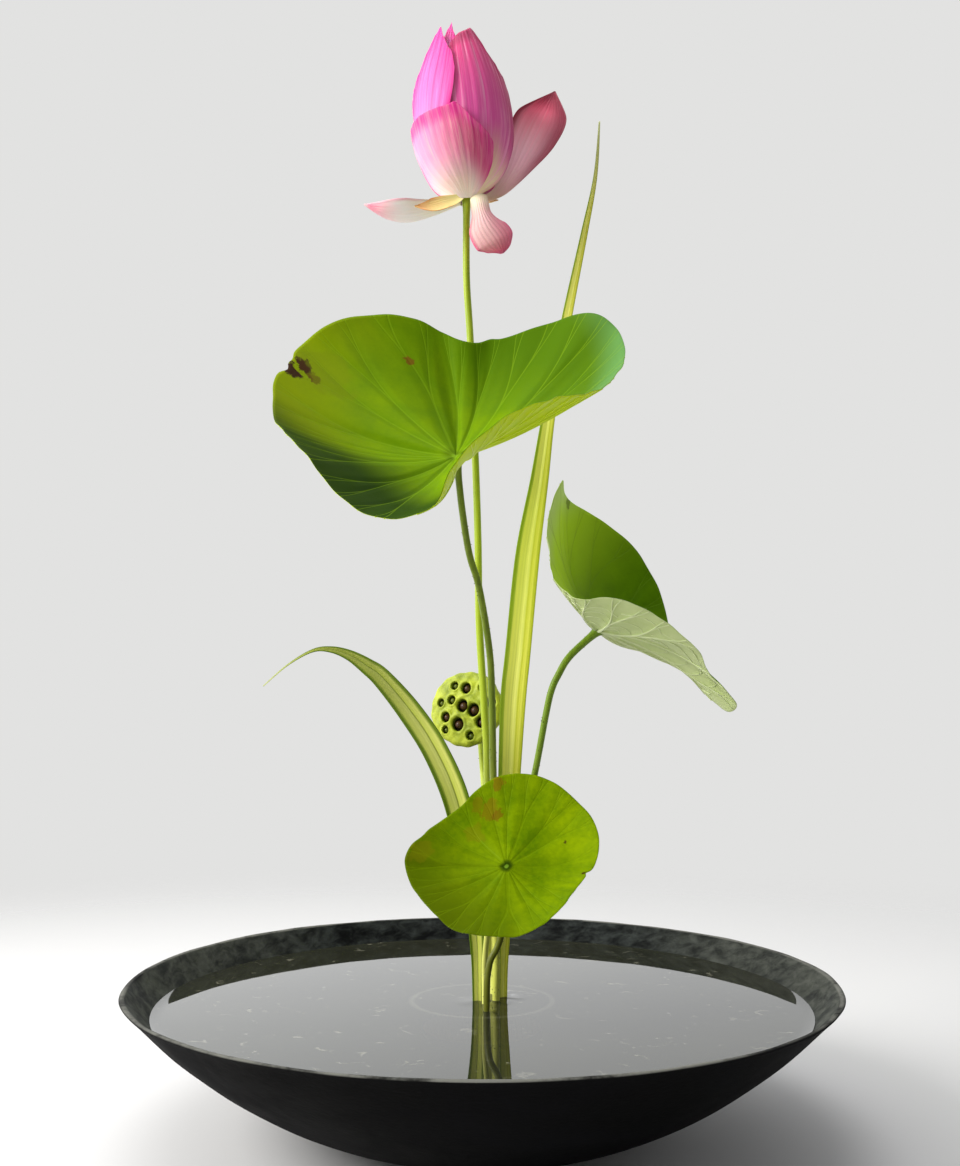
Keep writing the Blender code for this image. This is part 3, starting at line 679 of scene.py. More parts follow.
def stemTree():                  # a tube along its path, with short prickles scattered over it
    tree, take, give = newTree("stemWithPrickles", "Sides Int, Prickle density Float, Prickle height Float, "
                               "Prickle radius Float, Seed Int, Finish Material, Prickle finish Material")
    tube = tubeAlong(take["Geometry"], take["Sides"])
    spread = geo("DistributePointsOnFaces",
                 {"Mesh": tube, "Density": take["Prickle density"], "Seed": take["Seed"]}, None)
    cone = geo("MeshCone", {"Vertices": 5, "Radius Top": 0.00003, "Radius Bottom": take["Prickle radius"],
                            "Depth": take["Prickle height"]})
    size = node("FunctionNodeRandomValue", {2: 0.5, 3: 1.2, "Seed": take["Seed"]}, 1, data_type="FLOAT")
    prickles = geo("InstanceOnPoints", {"Points": spread["Points"], "Instance": cone,
                                        "Rotation": spread["Rotation"], "Scale": size})
    both = joined(painted(tube, take["Finish"]), painted(prickles, take["Prickle finish"]))
    wire(real(both), give["Geometry"])
    return tree


def makeStems(s):
    finishes = {name: stemFinish(name, *tones) for name, tones in s["tones"].items()}
    thorn = plainFinish("prickleTip", 0.5, 62, 52, 20)
    grow = stemTree()
    for number, (name, spec) in enumerate(stems.items()):
        points = curvePoints(spec["route"], s["rings"])
        route = [(*p, float(lookup(spec["radii"], i / s["rings"]))) for i, p in enumerate(points)]
        piece = runTree(pathObject(name + "Path", [route]), grow, {
            "Sides": s["sides"], "Prickle density": s["prickleEvery"] * spec["prickles"], "Seed": number + 3,
            "Prickle height": s["prickleHeight"] * mm, "Prickle radius": s["prickleRadius"] * mm,
            "Finish": finishes[spec["finish"]], "Prickle finish": thorn}, name + "Grown")
        piece.data.shade_smooth()
        piece.data.set_sharp_from_angle(angle=radians(60))
        settle(piece, "green_stem", name)


makeStems(stemSizes)
print("stems made")

# margin: way from the navel to the rim and sag of the spoke. Around a leaf, a turn goes from 0 to 1.
# notches: turn, width, depth. painted light and shade (lighter and darker sectors of the top, and a bluish
# painted sheen): turn, start, end, tone, share.
# stains: turn, share of the way out, size, tone, share.
lotusLeaves = {
    "large_leaf": dict(
        navel=(-18, -75, 467), spokes=420, rings=64, thick=0.9, reach=130.0, veins=21, fork=0.42, bulge=0.75,
        margin=((-125, -12, 36, 10), (-126, 8, 60, 8), (-113, 34, 90, 8), (-89, 50, 113, 10),
                (-58, 64, 123, 12), (-32, 71, 122, 14), (-12, 74, 112, 16), (7, 70, 103, 14),
                (31, 74, 107, 14), (69, 66, 117, 14), (98, 48, 118, 14), (114, 32, 103, 15), (118, 6, 77, 12),
                (109, -26, 50, 7), (87, -62, 28, 4), (61, -98, 14, 4), (47, -112, 7, 6), (30, -126, -6, 7),
                (14, -134, -21, 8), (0, -136, -38, 8), (-11, -130, -57, 8), (-30, -116, -63, 8),
                (-48, -108, -60, 8), (-65, -98, -49, 8), (-83, -84, -27, 8), (-100, -66, -7, 8),
                (-118, -36, 16, 10)),
        notches=((0.050, 0.007, 0.035), (0.064, 0.006, 0.02), (0.262, 0.006, -0.02)),
        ripple=1.3, ribSize=0.7, links=False, knot=0.35, patchy=1.2,
        # underside tones: the large leaf's bright yellow-green is partly painted light shining through the
        # blade
        light=(132, 162, 0), dark=(82, 124, 0), vein=(140, 176, 30), under=((214, 232, 30), (186, 214, 16)),
        # painted light and shade: a lighter left side, darker lower and right sectors, and a bluish painted
        # sheen on the right lobe
        paintedLightAndShade=((0.0, 0.35, 1.0, (146, 156, 0), 0.6), (0.82, 0.28, 0.74, (30, 56, 0), 0.95),
                (0.38, 0.1, 0.8, (70, 106, 0), 0.9), (0.44, 0.74, 0.98, (104, 160, 98), 0.5)),
        stains=((0.053, 0.99, 0.06, (58, 36, 16), 1.0), (0.066, 0.93, 0.05, (66, 42, 18), 1.0),
                (0.060, 0.86, 0.035, (92, 66, 20), 0.9), (0.172, 0.74, 0.026, (120, 84, 20), 0.9),
                (0.075, 0.8, 0.14, (120, 136, 10), 0.4))),
    "right_leaf": dict(
        navel=(84, -30, 351), spokes=340, rings=50, thick=0.8, reach=85.0, veins=13, fork=0.50, bulge=0.9,
        margin=((-24, 30, 114, 14), (-33, 6, 92, 10), (-37, -9, 72, 8), (-37, -24, 52, 5), (-35, -40, 33, 2),
                (-27, -54, 20, 2), (-17, -66, 15, 5), (0, -78, 15, 8), (18, -82, 8, 8), (34, -80, 0, 6),
                (48, -74, -11, 4), (58, -66, -19, 0), (67, -50, -31, -5), (79, -36, -41, -8),
                (92, -22, -54, -9), (88, -12, -59, -9), (80, 2, -51, -8), (72, 16, -37, -4), (65, 34, -24, 4),
                (60, 54, -6, 10), (59, 68, 14, 14), (55, 78, 36, 16), (46, 82, 56, 18), (36, 82, 71, 18),
                (12, 73, 89, 18), (-12, 54, 100, 16), (-21, 42, 106, 14)),
        notches=(), ripple=0.8, ribSize=1.7, links=True, knot=0.5, patchy=1.8,
        light=(116, 160, 0), dark=(74, 112, 0), vein=(120, 158, 40), under=((222, 232, 178), (200, 216, 140)),
        # painted light and shade: a lighter left side, a pale bluish painted highlight along the left edge, a
        # darker right side
        paintedLightAndShade=((0.08, 0.0, 0.8, (208, 250, 50), 0.95), (0.05, 0.72, 1.0, (206, 228, 150), 0.6),
                (0.80, 0.2, 1.0, (74, 112, 0), 0.5)),
        stains=((0.97, 0.97, 0.03, (70, 84, 12), 0.6),)),
    "small_leaf": dict(
        navel=(16, -80, 191), spokes=300, rings=44, thick=0.8, reach=62.0, veins=18, fork=0.45, bulge=0.34,
        margin=((-67, 4, -1, 4), (-66, 7, 8, 4), (-59, 14, 18, 4), (-44, 22, 27, 4), (-30, 26, 37, 4),
                (-20, 33, 47, 4), (-5, 37, 56, 5), (15, 38, 58, 5), (34, 35, 52, 5), (51, 27, 38, 5),
                (59, 18, 28, 5), (62, 8, 15, 5), (58, -3, 2, 5), (48, -12, -9, 5), (36, -24, -21, 5),
                (22, -34, -32, 5), (5, -39, -38, 5), (-16, -38, -38, 5), (-34, -33, -35, 5),
                (-48, -22, -26, 5), (-61, -8, -13, 4)),
        notches=((0.520, 0.005, 0.035), (0.058, 0.016, 0.035)),
        ripple=0.6, ribSize=1.0, links=False, knot=0.9, patchy=3.2,
        light=(138, 162, 0), dark=(90, 122, 0), vein=(110, 136, 0), under=((190, 208, 84), (160, 184, 60)),
        # painted shade: the lower left half darker
        paintedLightAndShade=((0.90, -0.1, 0.9, (80, 98, 0), 0.9),),
        stains=((0.205, 0.72, 0.11, (128, 112, 10), 0.75), (0.225, 0.62, 0.06, (120, 96, 10), 0.8),
                (0.185, 0.86, 0.08, (128, 116, 10), 0.6), (0.14, 0.62, 0.12, (122, 122, 8), 0.5),
                (0.235, 0.93, 0.07, (132, 104, 14), 0.7), (0.03, 0.9, 0.12, (116, 116, 8), 0.5),
                (0.425, 0.66, 0.018, (70, 60, 10), 0.9), (0.52, 0.97, 0.025, (60, 44, 10), 0.9))),
}
veinWaver = ((0.012, 3, 1.0), (0.008, 7, 2.0))           # share of a turn, waves per turn, start


def waver(turn):
    return turn + sum(size * np.sin(2 * pi * turn * waves + start) for size, waves, start in veinWaver)


def forks(leaf, out):                                    # how far a vein has parted, at its two forks
    return 0.25 * smooth(leaf["fork"], 1.0, out), 0.125 * smooth((leaf["fork"] + 1) / 2, 1.25, out)


def veinDistance(turn, out, leaf):                       # millimetres to the nearest vein
    beside = np.abs((waver(turn) * leaf["veins"]) % 1 - 0.5)
    first, second = forks(leaf, out)
    return np.abs(np.abs(beside - first) - second) / leaf["veins"] * 2 * pi * out * leaf["reach"]


def veinGroup():                                         # the same veins, for the shader
    tree, take, give = newGroup("lotusVeins", "Count Float, Fork Float, Reach Float, Width Float",
                                "Vein Float, Between Float, Outwards Float, Place Vector")
    centred = vec("SUBTRACT", node("ShaderNodeUVMap", uv_map="flat"), (0.5, 0.5, 0))
    place = vec("MULTIPLY", centred, (2, 2, 0))
    x, y = split(place)[:2]
    out = length(place)
    turn = calc("FRACT", calc("DIVIDE", calc("ARCTAN2", y, x), 2 * pi))
    bent = turn
    for size, waves, start in veinWaver:
        wave = calc("SINE", calc("MULTIPLY_ADD", turn, 2 * pi * waves, start))
        bent = calc("MULTIPLY_ADD", wave, size, bent)
    beside = calc("ABSOLUTE", minus(calc("FRACT", times(bent, take["Count"])), 0.5))
    first = fade(out, take["Fork"], 1.0, 0.0, 0.25)
    second = fade(out, times(plus(take["Fork"], 1.0), 0.5), 1.25, 0.0, 0.125)
    off = calc("ABSOLUTE", minus(calc("ABSOLUTE", minus(beside, first)), second))
    away = times(calc("DIVIDE", off, take["Count"]), times(out, 2 * pi, take["Reach"]))
    width = times(take["Width"], fade(out, 0.0, 1.0, 1.0, 0.45))
    wire(fade(calc("DIVIDE", away, width), 0.3, 1.0, 1.0, 0.0), give["Vein"])
    wire(fade(away, 0.0, 6.0), give["Between"])
    wire(out, give["Outwards"])
    wire(place, give["Place"])
    return tree


def flatPlace(turn, out):
    return (out * cos(2 * pi * turn), out * sin(2 * pi * turn), 0)


def leafFinish(name, leaf, light, dark, veins, upper):
    paint, skin = newMaterial(name, {"Specular IOR Level": 0.03})
    net = useGroup(veinNet, {"Count": float(leaf["veins"]), "Fork": leaf["fork"], "Width": 1.1,
                             "Reach": leaf["reach"]})
    vein, out, place = net["Vein"], net["Outwards"], net["Place"]
    at = objectPlace()
    coat = mottled(at, 38.0, light, dark, leaf["patchy"] if upper else 1.6)
    # darker close to the veins, along the grooves they lie in: painted shade
    near = times(fade(net["Between"], 0.0, 1.0, 1.0, 0.0), 0.25 if upper else 0.1)
    colour = mix(near, coat["Colour"], dark)
    colour = mix(times(vein, fade(out, 0.0, 0.9, 0.34, 0.16)), colour, veins)
    if upper:
        # painted light and shade: sectors of the top made lighter or darker as the light falls, and a painted
        # sheen
        for turn, low, high, shade, share in leaf["paintedLightAndShade"]:
            mask = fade(vec("DOT_PRODUCT", place, flatPlace(turn, 1), out=1), low, high, 0.0, share)
            colour = mix(mask, colour, mix(times(vein, 0.3), tone(*shade), veins))
        for turn, away, size, stain, share in leaf["stains"]:
            spot = useGroup(raggedSpot, {"Place": place, "Centre": flatPlace(turn, away), "Radius": size,
                                         "Ragged": 2.6, "Grain": 1.1 / size})
            colour = mix(times(spot["Mask"], share), colour, tone(*stain))
    knot = mix(fade(out, 0.018, 0.034), tone(110, 148, 40), tone(34, 58, 2))
    colour = mix(fade(out, 0.04, 0.10, leaf["knot"], 0.0), colour, knot)
    relief = plus(times(vein, -0.5 if upper else 0.6), times(noise(at, 700, 2, 0.5), 0.18))
    dress(skin, colour, fade(coat["Height"], 0.3, 0.7, 0.42, 0.56), bump(relief, 0.0006, 0.4))
    return paint


def ringPlaces(leaf):                                    # the rings' shares of the way out
    return np.linspace(0, 1, leaf["rings"] + 1)[1:] ** 0.9


def leafGrid(leaf):
    rim = np.array(curvePoints(leaf["margin"], leaf["spokes"], closed=True))
    spoke, sag = rim[:, :3], rim[:, 3]
    normal = np.cross(spoke, np.roll(spoke, -1, 0)).sum(0)
    normal = unit(normal * (1 if normal[2] >= 0 else -1))
    ways = unit(spoke)
    steps = np.arccos(np.clip((ways * np.roll(ways, -1, 0)).sum(1), -1, 1))
    turn = np.concatenate([[0], np.cumsum(steps)[:-1]]) / steps.sum()
    scale = np.ones(len(turn))
    for place, width, depth in leaf["notches"]:
        gap = np.abs((turn - place + 0.5) % 1 - 0.5)
        scale -= depth * np.exp(-(gap / width) ** 2)
    s, t = np.meshgrid(ringPlaces(leaf), turn, indexing="ij")
    grid = np.array(leaf["navel"], float) + spoke[None] * (s * scale[None])[..., None]
    grid = grid - normal * (sag[None] * 4 * s * (1 - s))[..., None]
    up = sheetNormals(grid, True)
    if (up.mean((0, 1)) @ normal) < 0:
        up = -up
    cushion = np.sin(pi * np.clip(s, 0.02, 1) ** 0.8) ** 0.7
    swell = leaf["bulge"] * smooth(0, 5, veinDistance(t, s, leaf)) * cushion
    wave = leaf["ripple"] * s ** 5 * (np.sin(2 * pi * t * 9 + 1) * 0.5 + np.sin(2 * pi * t * 17 + 2) * 0.3
                                      + np.sin(2 * pi * t * 31) * 0.2)
    dimple = -1.2 * np.exp(-(s * leaf["reach"] / 3.5) ** 2)
    grid = grid + up * (swell + wave + dimple)[..., None]
    flat = 0.5 + 0.5 * s[..., None] * np.stack([np.cos(2 * pi * t), np.sin(2 * pi * t)], -1)
    return grid, flat, up, t, s


def ribRoutes(leaf, grid, up, spokeTurn):                # vein paths on the underside, thick near the stalk
    turns = np.linspace(0, 1, 4001)
    bent = waver(turns)
    rings, spokes = grid.shape[:2]
    out = ringPlaces(leaf)
    late = (leaf["fork"] + 1) / 2
    size = leaf["reach"] / 110 * leaf["ribSize"]
    parts = [forks(leaf, share) for share in out]

    def spokeAt(number, left=None):                      # the spoke where this vein number lies
        turn = np.interp(number / leaf["veins"], bent, turns, left, left)
        k = np.interp(turn % 1, np.append(spokeTurn, 1.0), np.arange(spokes + 1))
        return (int(k) % spokes, k % 1) if turn >= 0 else (None, 0)

    routes = []
    for number in range(leaf["veins"] + 1):
        for one, two in ((-1, -1), (-1, 1), (1, -1), (1, 1)):
            route = []
            for i in range(1, rings, 2):
                a, f = spokeAt(number + 0.5 + parts[i][0] * one + parts[i][1] * two, -1)
                if a is None or (out[i] < leaf["fork"] and one + two != 2) or (out[i] < late and two != 1):
                    continue
                here = grid[i, a] * (1 - f) + grid[i, (a + 1) % spokes] * f
                thick = (1.25 - 0.95 * out[i] ** 0.6) * size
                route.append((*(here - up[i, a] * (leaf["thick"] * 0.4 + thick * 0.6)), thick))
            if len(route) > 2:
                routes.append(route)
    for number in range(leaf["veins"] if leaf["links"] else 0):     # cross links make a net of the ribs
        for step, place in enumerate((0.34, 0.52, 0.68, 0.82)):
            place += 0.05 * sin(number * 2.4 + step)
            route = []
            for share in np.linspace(0, 1, 9):
                a, f = spokeAt(number + 0.5 + share)
                bow = 0.07 * sin(pi * share) + 0.04 * share * sin(number * 1.7)
                ring = np.interp(place + bow, out, np.arange(rings))
                i = min(int(ring), rings - 2)
                here = grid[i, a] * (1 - ring % 1) + grid[i + 1, a] * (ring % 1)
                here = here + (grid[i, (a + 1) % spokes] - grid[i, a]) * f - up[i, a] * leaf["thick"] * 0.6
                route.append((*here, 0.34 * size))
            routes.append(route)
    return routes


def ribTree():
    tree, take, give = newTree("leafRibs", "Sides Int, Finish Material")
    wire(painted(real(tubeAlong(take["Geometry"], take["Sides"])), take["Finish"]), give["Geometry"])
    return tree


veinNet = veinGroup()
ribs = ribTree()


def makeLeaf(name, leaf):
    grid, flat, up, t, s = leafGrid(leaf)
    title = name.replace("_", " ").title().replace(" ", "")
    colours = leaf["light"], leaf["dark"], leaf["vein"], *leaf["under"]
    light, dark, vein, pale, dim = (tone(*c) for c in colours)
    skins = [leafFinish(title + "Top", leaf, light, dark, vein, True),
             leafFinish(title + "Underside", leaf, pale, dim, pale, False)]
    if (sheetNormals(grid, True) * up).sum(-1).mean() <= 0:
        skins.reverse()
    settle(closedSheet(name + "Blade", grid, leaf["thick"] * (1 - 0.35 * s), flat, skins, wrap=True),
           "lotus_leaf", name)
    rib = plainFinish(title + "Rib", 0.5, *leaf["under"][0])
    routes = ribRoutes(leaf, grid, up, t[0])
    veins = runTree(pathObject(name + "Veins", routes), ribs, {"Sides": 6, "Finish": rib}, name + "Ribs")
    veins.data.shade_smooth()
    settle(veins, "lotus_leaf")


for leafName, leafSpec in lotusLeaves.items():
    makeLeaf(leafName, leafSpec)
    print(leafName, "made")

# rows: middle of the blade, width, swing of its face. stripes: share of the width, tone
stripedLeaves = {
    "tall_striped_leaf": dict(
        shade=0.0, shadeSpan=(0.5, 1.0),
        rows=((16, 6, 17.4, 6, 10), (15, 6, 90, 6, 10), (16, 7, 130, 8, 10), (18, 9, 190, 13, 9),
              (20, 11, 247, 16.5, 8), (23, 15, 301, 19, 6), (27, 19, 338, 19, 4), (35, 29, 412, 18.5, 2),
              (45, 37, 473, 14, 0), (54, 43, 532, 10, -4), (69, 52, 610, 8, -8), (84, 58, 682, 5.5, -8),
              (94, 61, 733, 3, -6), (98, 62, 781, 1.2, -5)),
        # the duller yellow-green bands towards the right edge are partly the leaf's own colour, partly
        # painted shade on the folded blade
        stripes=((0.0, (150, 180, 34)), (0.13, (164, 190, 44)), (0.20, (255, 255, 116)),
                 (0.62, (255, 255, 134)), (0.70, (214, 216, 60)), (0.84, (240, 238, 96)),
                 (0.92, (200, 204, 44)), (1.0, (176, 184, 34)))),
    "left_striped_leaf": dict(
        shade=0.62, shadeSpan=(0.3, 0.62),
        rows=((-3, -3, 17.4, 7, 0), (-3, -3, 90, 7.5, 0), (-4, -4, 133, 10.5, 0), (-10, -8, 185, 16, 0),
              (-18, -12, 228, 19, -4), (-33, -18, 264, 18.5, -8), (-51, -23, 292, 17.5, -12),
              (-70, -29, 315, 14.5, -16), (-81, -31, 324, 11.8, -18), (-94, -33, 332, 7.6, -20),
              (-107, -35, 336, 4.4, -22), (-120, -37, 335, 2.2, -22), (-137, -39, 325, 1.2, -22),
              (-154, -40, 310, 0.8, -22)),
        stripes=((0.0, (84, 116, 10)), (0.11, (108, 138, 18)), (0.20, (236, 242, 116)),
                 (0.46, (250, 252, 144)), (0.53, (120, 136, 22)), (0.58, (232, 240, 104)),
                 (0.80, (246, 248, 130)), (0.90, (116, 144, 18)), (1.0, (84, 116, 10)))),
}
stripedSizes = dict(rings=240, columns=33, thick=1.1, fold=0.14, ribs=11, ribHeight=0.10)


def stripedFinish(name, spec):
    paint, skin = newMaterial(name, {"Specular IOR Level": 0.25})
    sheet = node("ShaderNodeUVMap", uv_map="flat")
    u, v = split(sheet)[:2]
    across = plus(u, times(minus(noise(stretch(sheet, 3, 14, 1), 1.0, 2), 0.5), 0.07))
    bands = node("ShaderNodeValToRGB", {0: across})
    stops = bands.node.color_ramp.elements
    while len(stops) < len(spec["stripes"]):
        stops.new(0.5)
    for stop, (place, colour) in zip(stops, spec["stripes"]):
        stop.position = place
        stop.color = tone(*colour)
    lines = noise(stretch(sheet, 46, 1.0, 1), 1.0, 3, 0.6)
    colour = mix(fade(lines, 0.40, 0.62, 0.16, 0.0), bands, tone(140, 156, 26))
    colour = mix(fade(v, *spec["shadeSpan"], 0.0, spec["shade"]), colour, tone(96, 118, 10))
    colour = mix(fade(v, 0.86, 1.0), colour, tone(190, 196, 130))
    dress(skin, colour, fade(lines, 0.3, 0.7, 0.5, 0.36), bump(lines, 0.0004, 0.5))
    return paint


def makeStriped(name, spec, s):
    points = np.array(curvePoints(spec["rows"], s["rings"]))
    middle, width, swing = points[:, :3], points[:, 3:4], np.radians(points[:, 4])
    ahead = unit(np.gradient(middle, axis=0))
    across = unit(np.cross(ahead, np.stack([np.sin(swing), -np.cos(swing), 0 * swing], -1)))
    out = np.cross(across, ahead)
    v = np.linspace(-1, 1, s["columns"])[None]
    fold = s["fold"] * width * (np.sqrt(v ** 2 + 0.01) - 0.1)
    lines = s["ribHeight"] * np.cos(v * pi * s["ribs"]) * smooth(2, 8, width)
    grid = middle[:, None] + across[:, None] * (width / 2 * v)[..., None]
    grid = grid + out[:, None] * (fold + lines)[..., None]
    thick = np.minimum(s["thick"], width * 0.5) * (1 - 0.65 * np.abs(v) ** 1.5)
    u, along = np.meshgrid((v[0] + 1) / 2, np.linspace(0, 1, len(middle)))
    skin = stripedFinish(name.replace("_", "") + "Skin", spec)
    settle(closedSheet(name + "Blade", grid, thick, np.stack([u, along], -1), [skin]), "striped_leaf", name)


for leafName, leafSpec in stripedLeaves.items():
    makeStriped(leafName, leafSpec, stripedSizes)
print("striped leaves made")

budSizes = dict(base=(-12, 14, 695), top=(-21, 13, 836), layer=1.8, squeeze=4.6, thick=0.8,
                rows=64, columns=96, openRows=48, openColumns=41,
                profile=((-6, 2.5), (-3, 4.5), (0, 7), (5, 17), (14, 27.5), (28, 35.5), (50, 40), (75, 38.5),
                         (98, 32.5), (120, 23.5), (141, 13), (150, 8)))

# closed petals: sides (share of height, left heading, right heading), top edge (left -1 to right 1, height)
innerTop = ((-1, 102), (-0.5, 112), (0, 118), (0.5, 112), (1, 102))
budPetals = {
    "petal_front_short": dict(
        layer=2.9, foot=-3, draw=-1, lip=0.8,
        sides=((0, -95, 46), (0.4, -118, 43), (0.75, -122, 39), (1, -122, 35)),
        top=((-1, 30), (-0.9, 43), (-0.757, 50.6), (-0.513, 53), (-0.22, 53.4), (-0.02, 53), (0.12, 52.6),
             (0.27, 52.4), (0.39, 52.8), (0.47, 54), (0.53, 51), (0.656, 43), (0.80, 36.4), (0.934, 30),
             (0.99, 25), (1, 22)),
        finish="frontPetal"),
    "petal_upper_left": dict(
        layer=2, foot=-2, draw=0, lip=0.7,
        sides=((0, -90, -30), (0.4, -112, -20), (0.69, -114, -11), (0.8, -112, -8), (1, -109, -5)),
        top=((-1, 60), (-0.73, 68), (-0.44, 76), (-0.17, 86), (0, 96), (0.17, 115), (0.30, 124), (0.42, 130),
             (0.52, 126), (0.62, 120), (0.72, 114), (0.86, 104), (0.95, 98), (1, 84))),
    "petal_broad_right": dict(
        layer=1, foot=-2, draw=0, lip=0.5,
        sides=((0, -40, 110), (0.4, -50, 112), (0.8, -50, 104), (1, -50, 100)),
        top=((-1, 70), (-0.85, 88), (-0.67, 100), (-0.53, 108), (-0.325, 119.3), (-0.09, 124.5),
             (0.13, 128.4), (0.21, 122.8), (0.315, 108), (0.45, 97), (0.71, 86), (0.87, 77), (1, 60)),
        finish="broadPetal"),
    "petal_narrow_tip": dict(
        layer=0, foot=-1, draw=2, lip=0.3, sides=((0, -60, 20), (1, -52, 20)),
        top=((-1, 90), (-0.6, 112), (-0.35, 129), (-0.1, 135), (0.0, 138.5), (0.14, 132), (0.35, 123),
             (0.55, 118), (1, 95))),
    "petal_back_right": dict(
        layer=0.2, foot=-2, draw=1, lip=0.4, sides=((0, 110, 170), (0.5, 98, 192), (1, 96, 188)),
        top=((-1, 82), (-0.7, 103), (-0.35, 121), (0, 129), (0.35, 121), (0.7, 103), (1, 82))),
    "petal_back_left": dict(
        layer=1.2, foot=-2, draw=1, lip=0.5, sides=((0, 176, 240), (0.5, 162, 252), (1, 164, 250)),
        top=((-1, 80), (-0.7, 102), (-0.35, 120), (0, 128), (0.35, 120), (0.7, 102), (1, 80))),
    "petal_back_short": dict(
        layer=3, foot=-3, draw=-2, lip=1.2, sides=((0, 150, 232), (0.5, 136, 240), (1, 146, 236)),
        top=((-1, 34), (-0.7, 60), (-0.35, 80), (0, 91), (0.35, 82), (0.7, 60), (1, 34)),
        finish="frontPetal"),
    "petal_inner_right": dict(
        layer=-1, foot=2, draw=9, lip=0, sides=((0, 0, 120), (1, 8, 112)), top=innerTop),
    "petal_inner_left": dict(
        layer=-1, foot=2, draw=9, lip=0, sides=((0, -120, 0), (1, -112, -8)), top=innerTop),
    "petal_inner_back": dict(
        layer=-1, foot=2, draw=9, lip=0, sides=((0, 122, 238), (1, 128, 232)),
        top=((-1, 100), (-0.5, 110), (0, 116), (0.5, 110), (1, 100))),
}

# opened petals: spine from the foot to the tip, half widths along it, the way across,
# and the way the rims rise
openPetals = {
    "petal_open_right": dict(
        spine=((3, 19, 693), (15, 33, 706), (29, 44, 729), (42, 50, 754), (53, 50, 778), (60, 45, 798)),
        across=(0.72, -0.3, -0.62), riseTo=(-0.35, -0.9, 0.3), halves=(4, 6, 12.5, 21.5, 21.5, 0.6), rise=9,
        finish="openPetal"),
    "petal_spread_left": dict(
        spine=((-17, 14, 688), (-38, 12, 679.5), (-58, 12, 675), (-76, 12, 677.5), (-92, 12, 686.5)),
        across=(0, 1, 0), riseTo=(0, 0, 1), halves=(5, 14, 21, 16, 0.6), rise=7.5, finish="whitePetal"),
    "petal_withered": dict(
        spine=((-17, 1, 687), (-27, -5, 679.5), (-38, -9, 674.5), (-51, -11, 675)),
        across=(0.1, 0.6, 0.8), riseTo=(0, -0.8, 0.6), halves=(4, 8.5, 8.5, 0.5), rise=3,
        finish="witheredPetal"),
    "petal_drooping": dict(
        spine=((-3, 5, 692), (-2, -2, 683), (0, -6, 672), (4, -8, 661), (11, -7, 651), (14.4, -4, 645),
               (15.6, -2, 641.5)),
        across=(0.93, 0.1, 0.36), riseTo=(0, 1, 0.2), halves=(6.5, 7, 8, 14.5, 15.5, 10, 1.5), rise=6,
        finish="droopPetal"),
    "petal_stub": dict(
        spine=((0, 31, 697), (6, 35, 699), (13, 38, 702)),
        across=(0, 0.8, 0.6), riseTo=(-0.3, 0, 1), halves=(3, 5, 0.5), rise=1.5, finish="witheredPetal"),
}

# foot, middle, tip and rim along the petal, the side towards the right (deeper, partly the petal's own colour
# and partly painted shade), pale streaks
petalLooks = {
    "frontPetal": dict(
        foot=(246, 232, 226), middle=(242, 152, 190), tip=(238, 104, 172), rim=(214, 40, 134),
        side=(208, 22, 102), streak=(250, 214, 200), share=0.9, streaks=0.35, blush=0.5, edge=0.5),
    "upperPetal": dict(
        foot=(214, 206, 222), middle=(184, 110, 176), tip=(214, 20, 120), rim=(230, 40, 140),
        side=(232, 50, 156), streak=(240, 170, 236), share=0.5, streaks=0.25, blush=0.62, edge=0.12),
    "broadPetal": dict(
        foot=(244, 230, 176), middle=(234, 84, 164), tip=(222, 32, 116), rim=(176, 10, 84),
        side=(150, 6, 64), streak=(252, 170, 204), share=0.8, streaks=0.6, blush=0.36, edge=0.14),
    "openPetal": dict(
        foot=(246, 228, 190), middle=(255, 206, 212), tip=(250, 34, 106), rim=(128, 0, 44),
        side=(136, 0, 52), streak=(250, 180, 190), share=1.0, streaks=0.15, blush=0.5, edge=0.3),
    "whitePetal": dict(
        foot=(250, 244, 214), middle=(255, 242, 238), tip=(240, 84, 132), rim=(240, 176, 186),
        side=(248, 226, 226), streak=(252, 248, 240), share=0.3, streaks=0.3, blush=0.5, edge=0.12),
    "droopPetal": dict(
        foot=(246, 240, 200), middle=(252, 204, 202), tip=(232, 46, 112), rim=(234, 84, 136),
        side=(238, 84, 136), streak=(252, 214, 208), share=0.6, streaks=0.15, blush=0.42, edge=0.2),
    "witheredPetal": dict(
        foot=(240, 230, 150), middle=(236, 206, 130), tip=(216, 140, 90), rim=(206, 140, 70),
        side=(230, 190, 110), streak=(246, 230, 170), share=0.3, streaks=0.4, blush=0.6, edge=0.3),
}
petalSlots = {"whitePetal": "white_petal", "droopPetal": "white_petal", "witheredPetal": "tan_petal"}


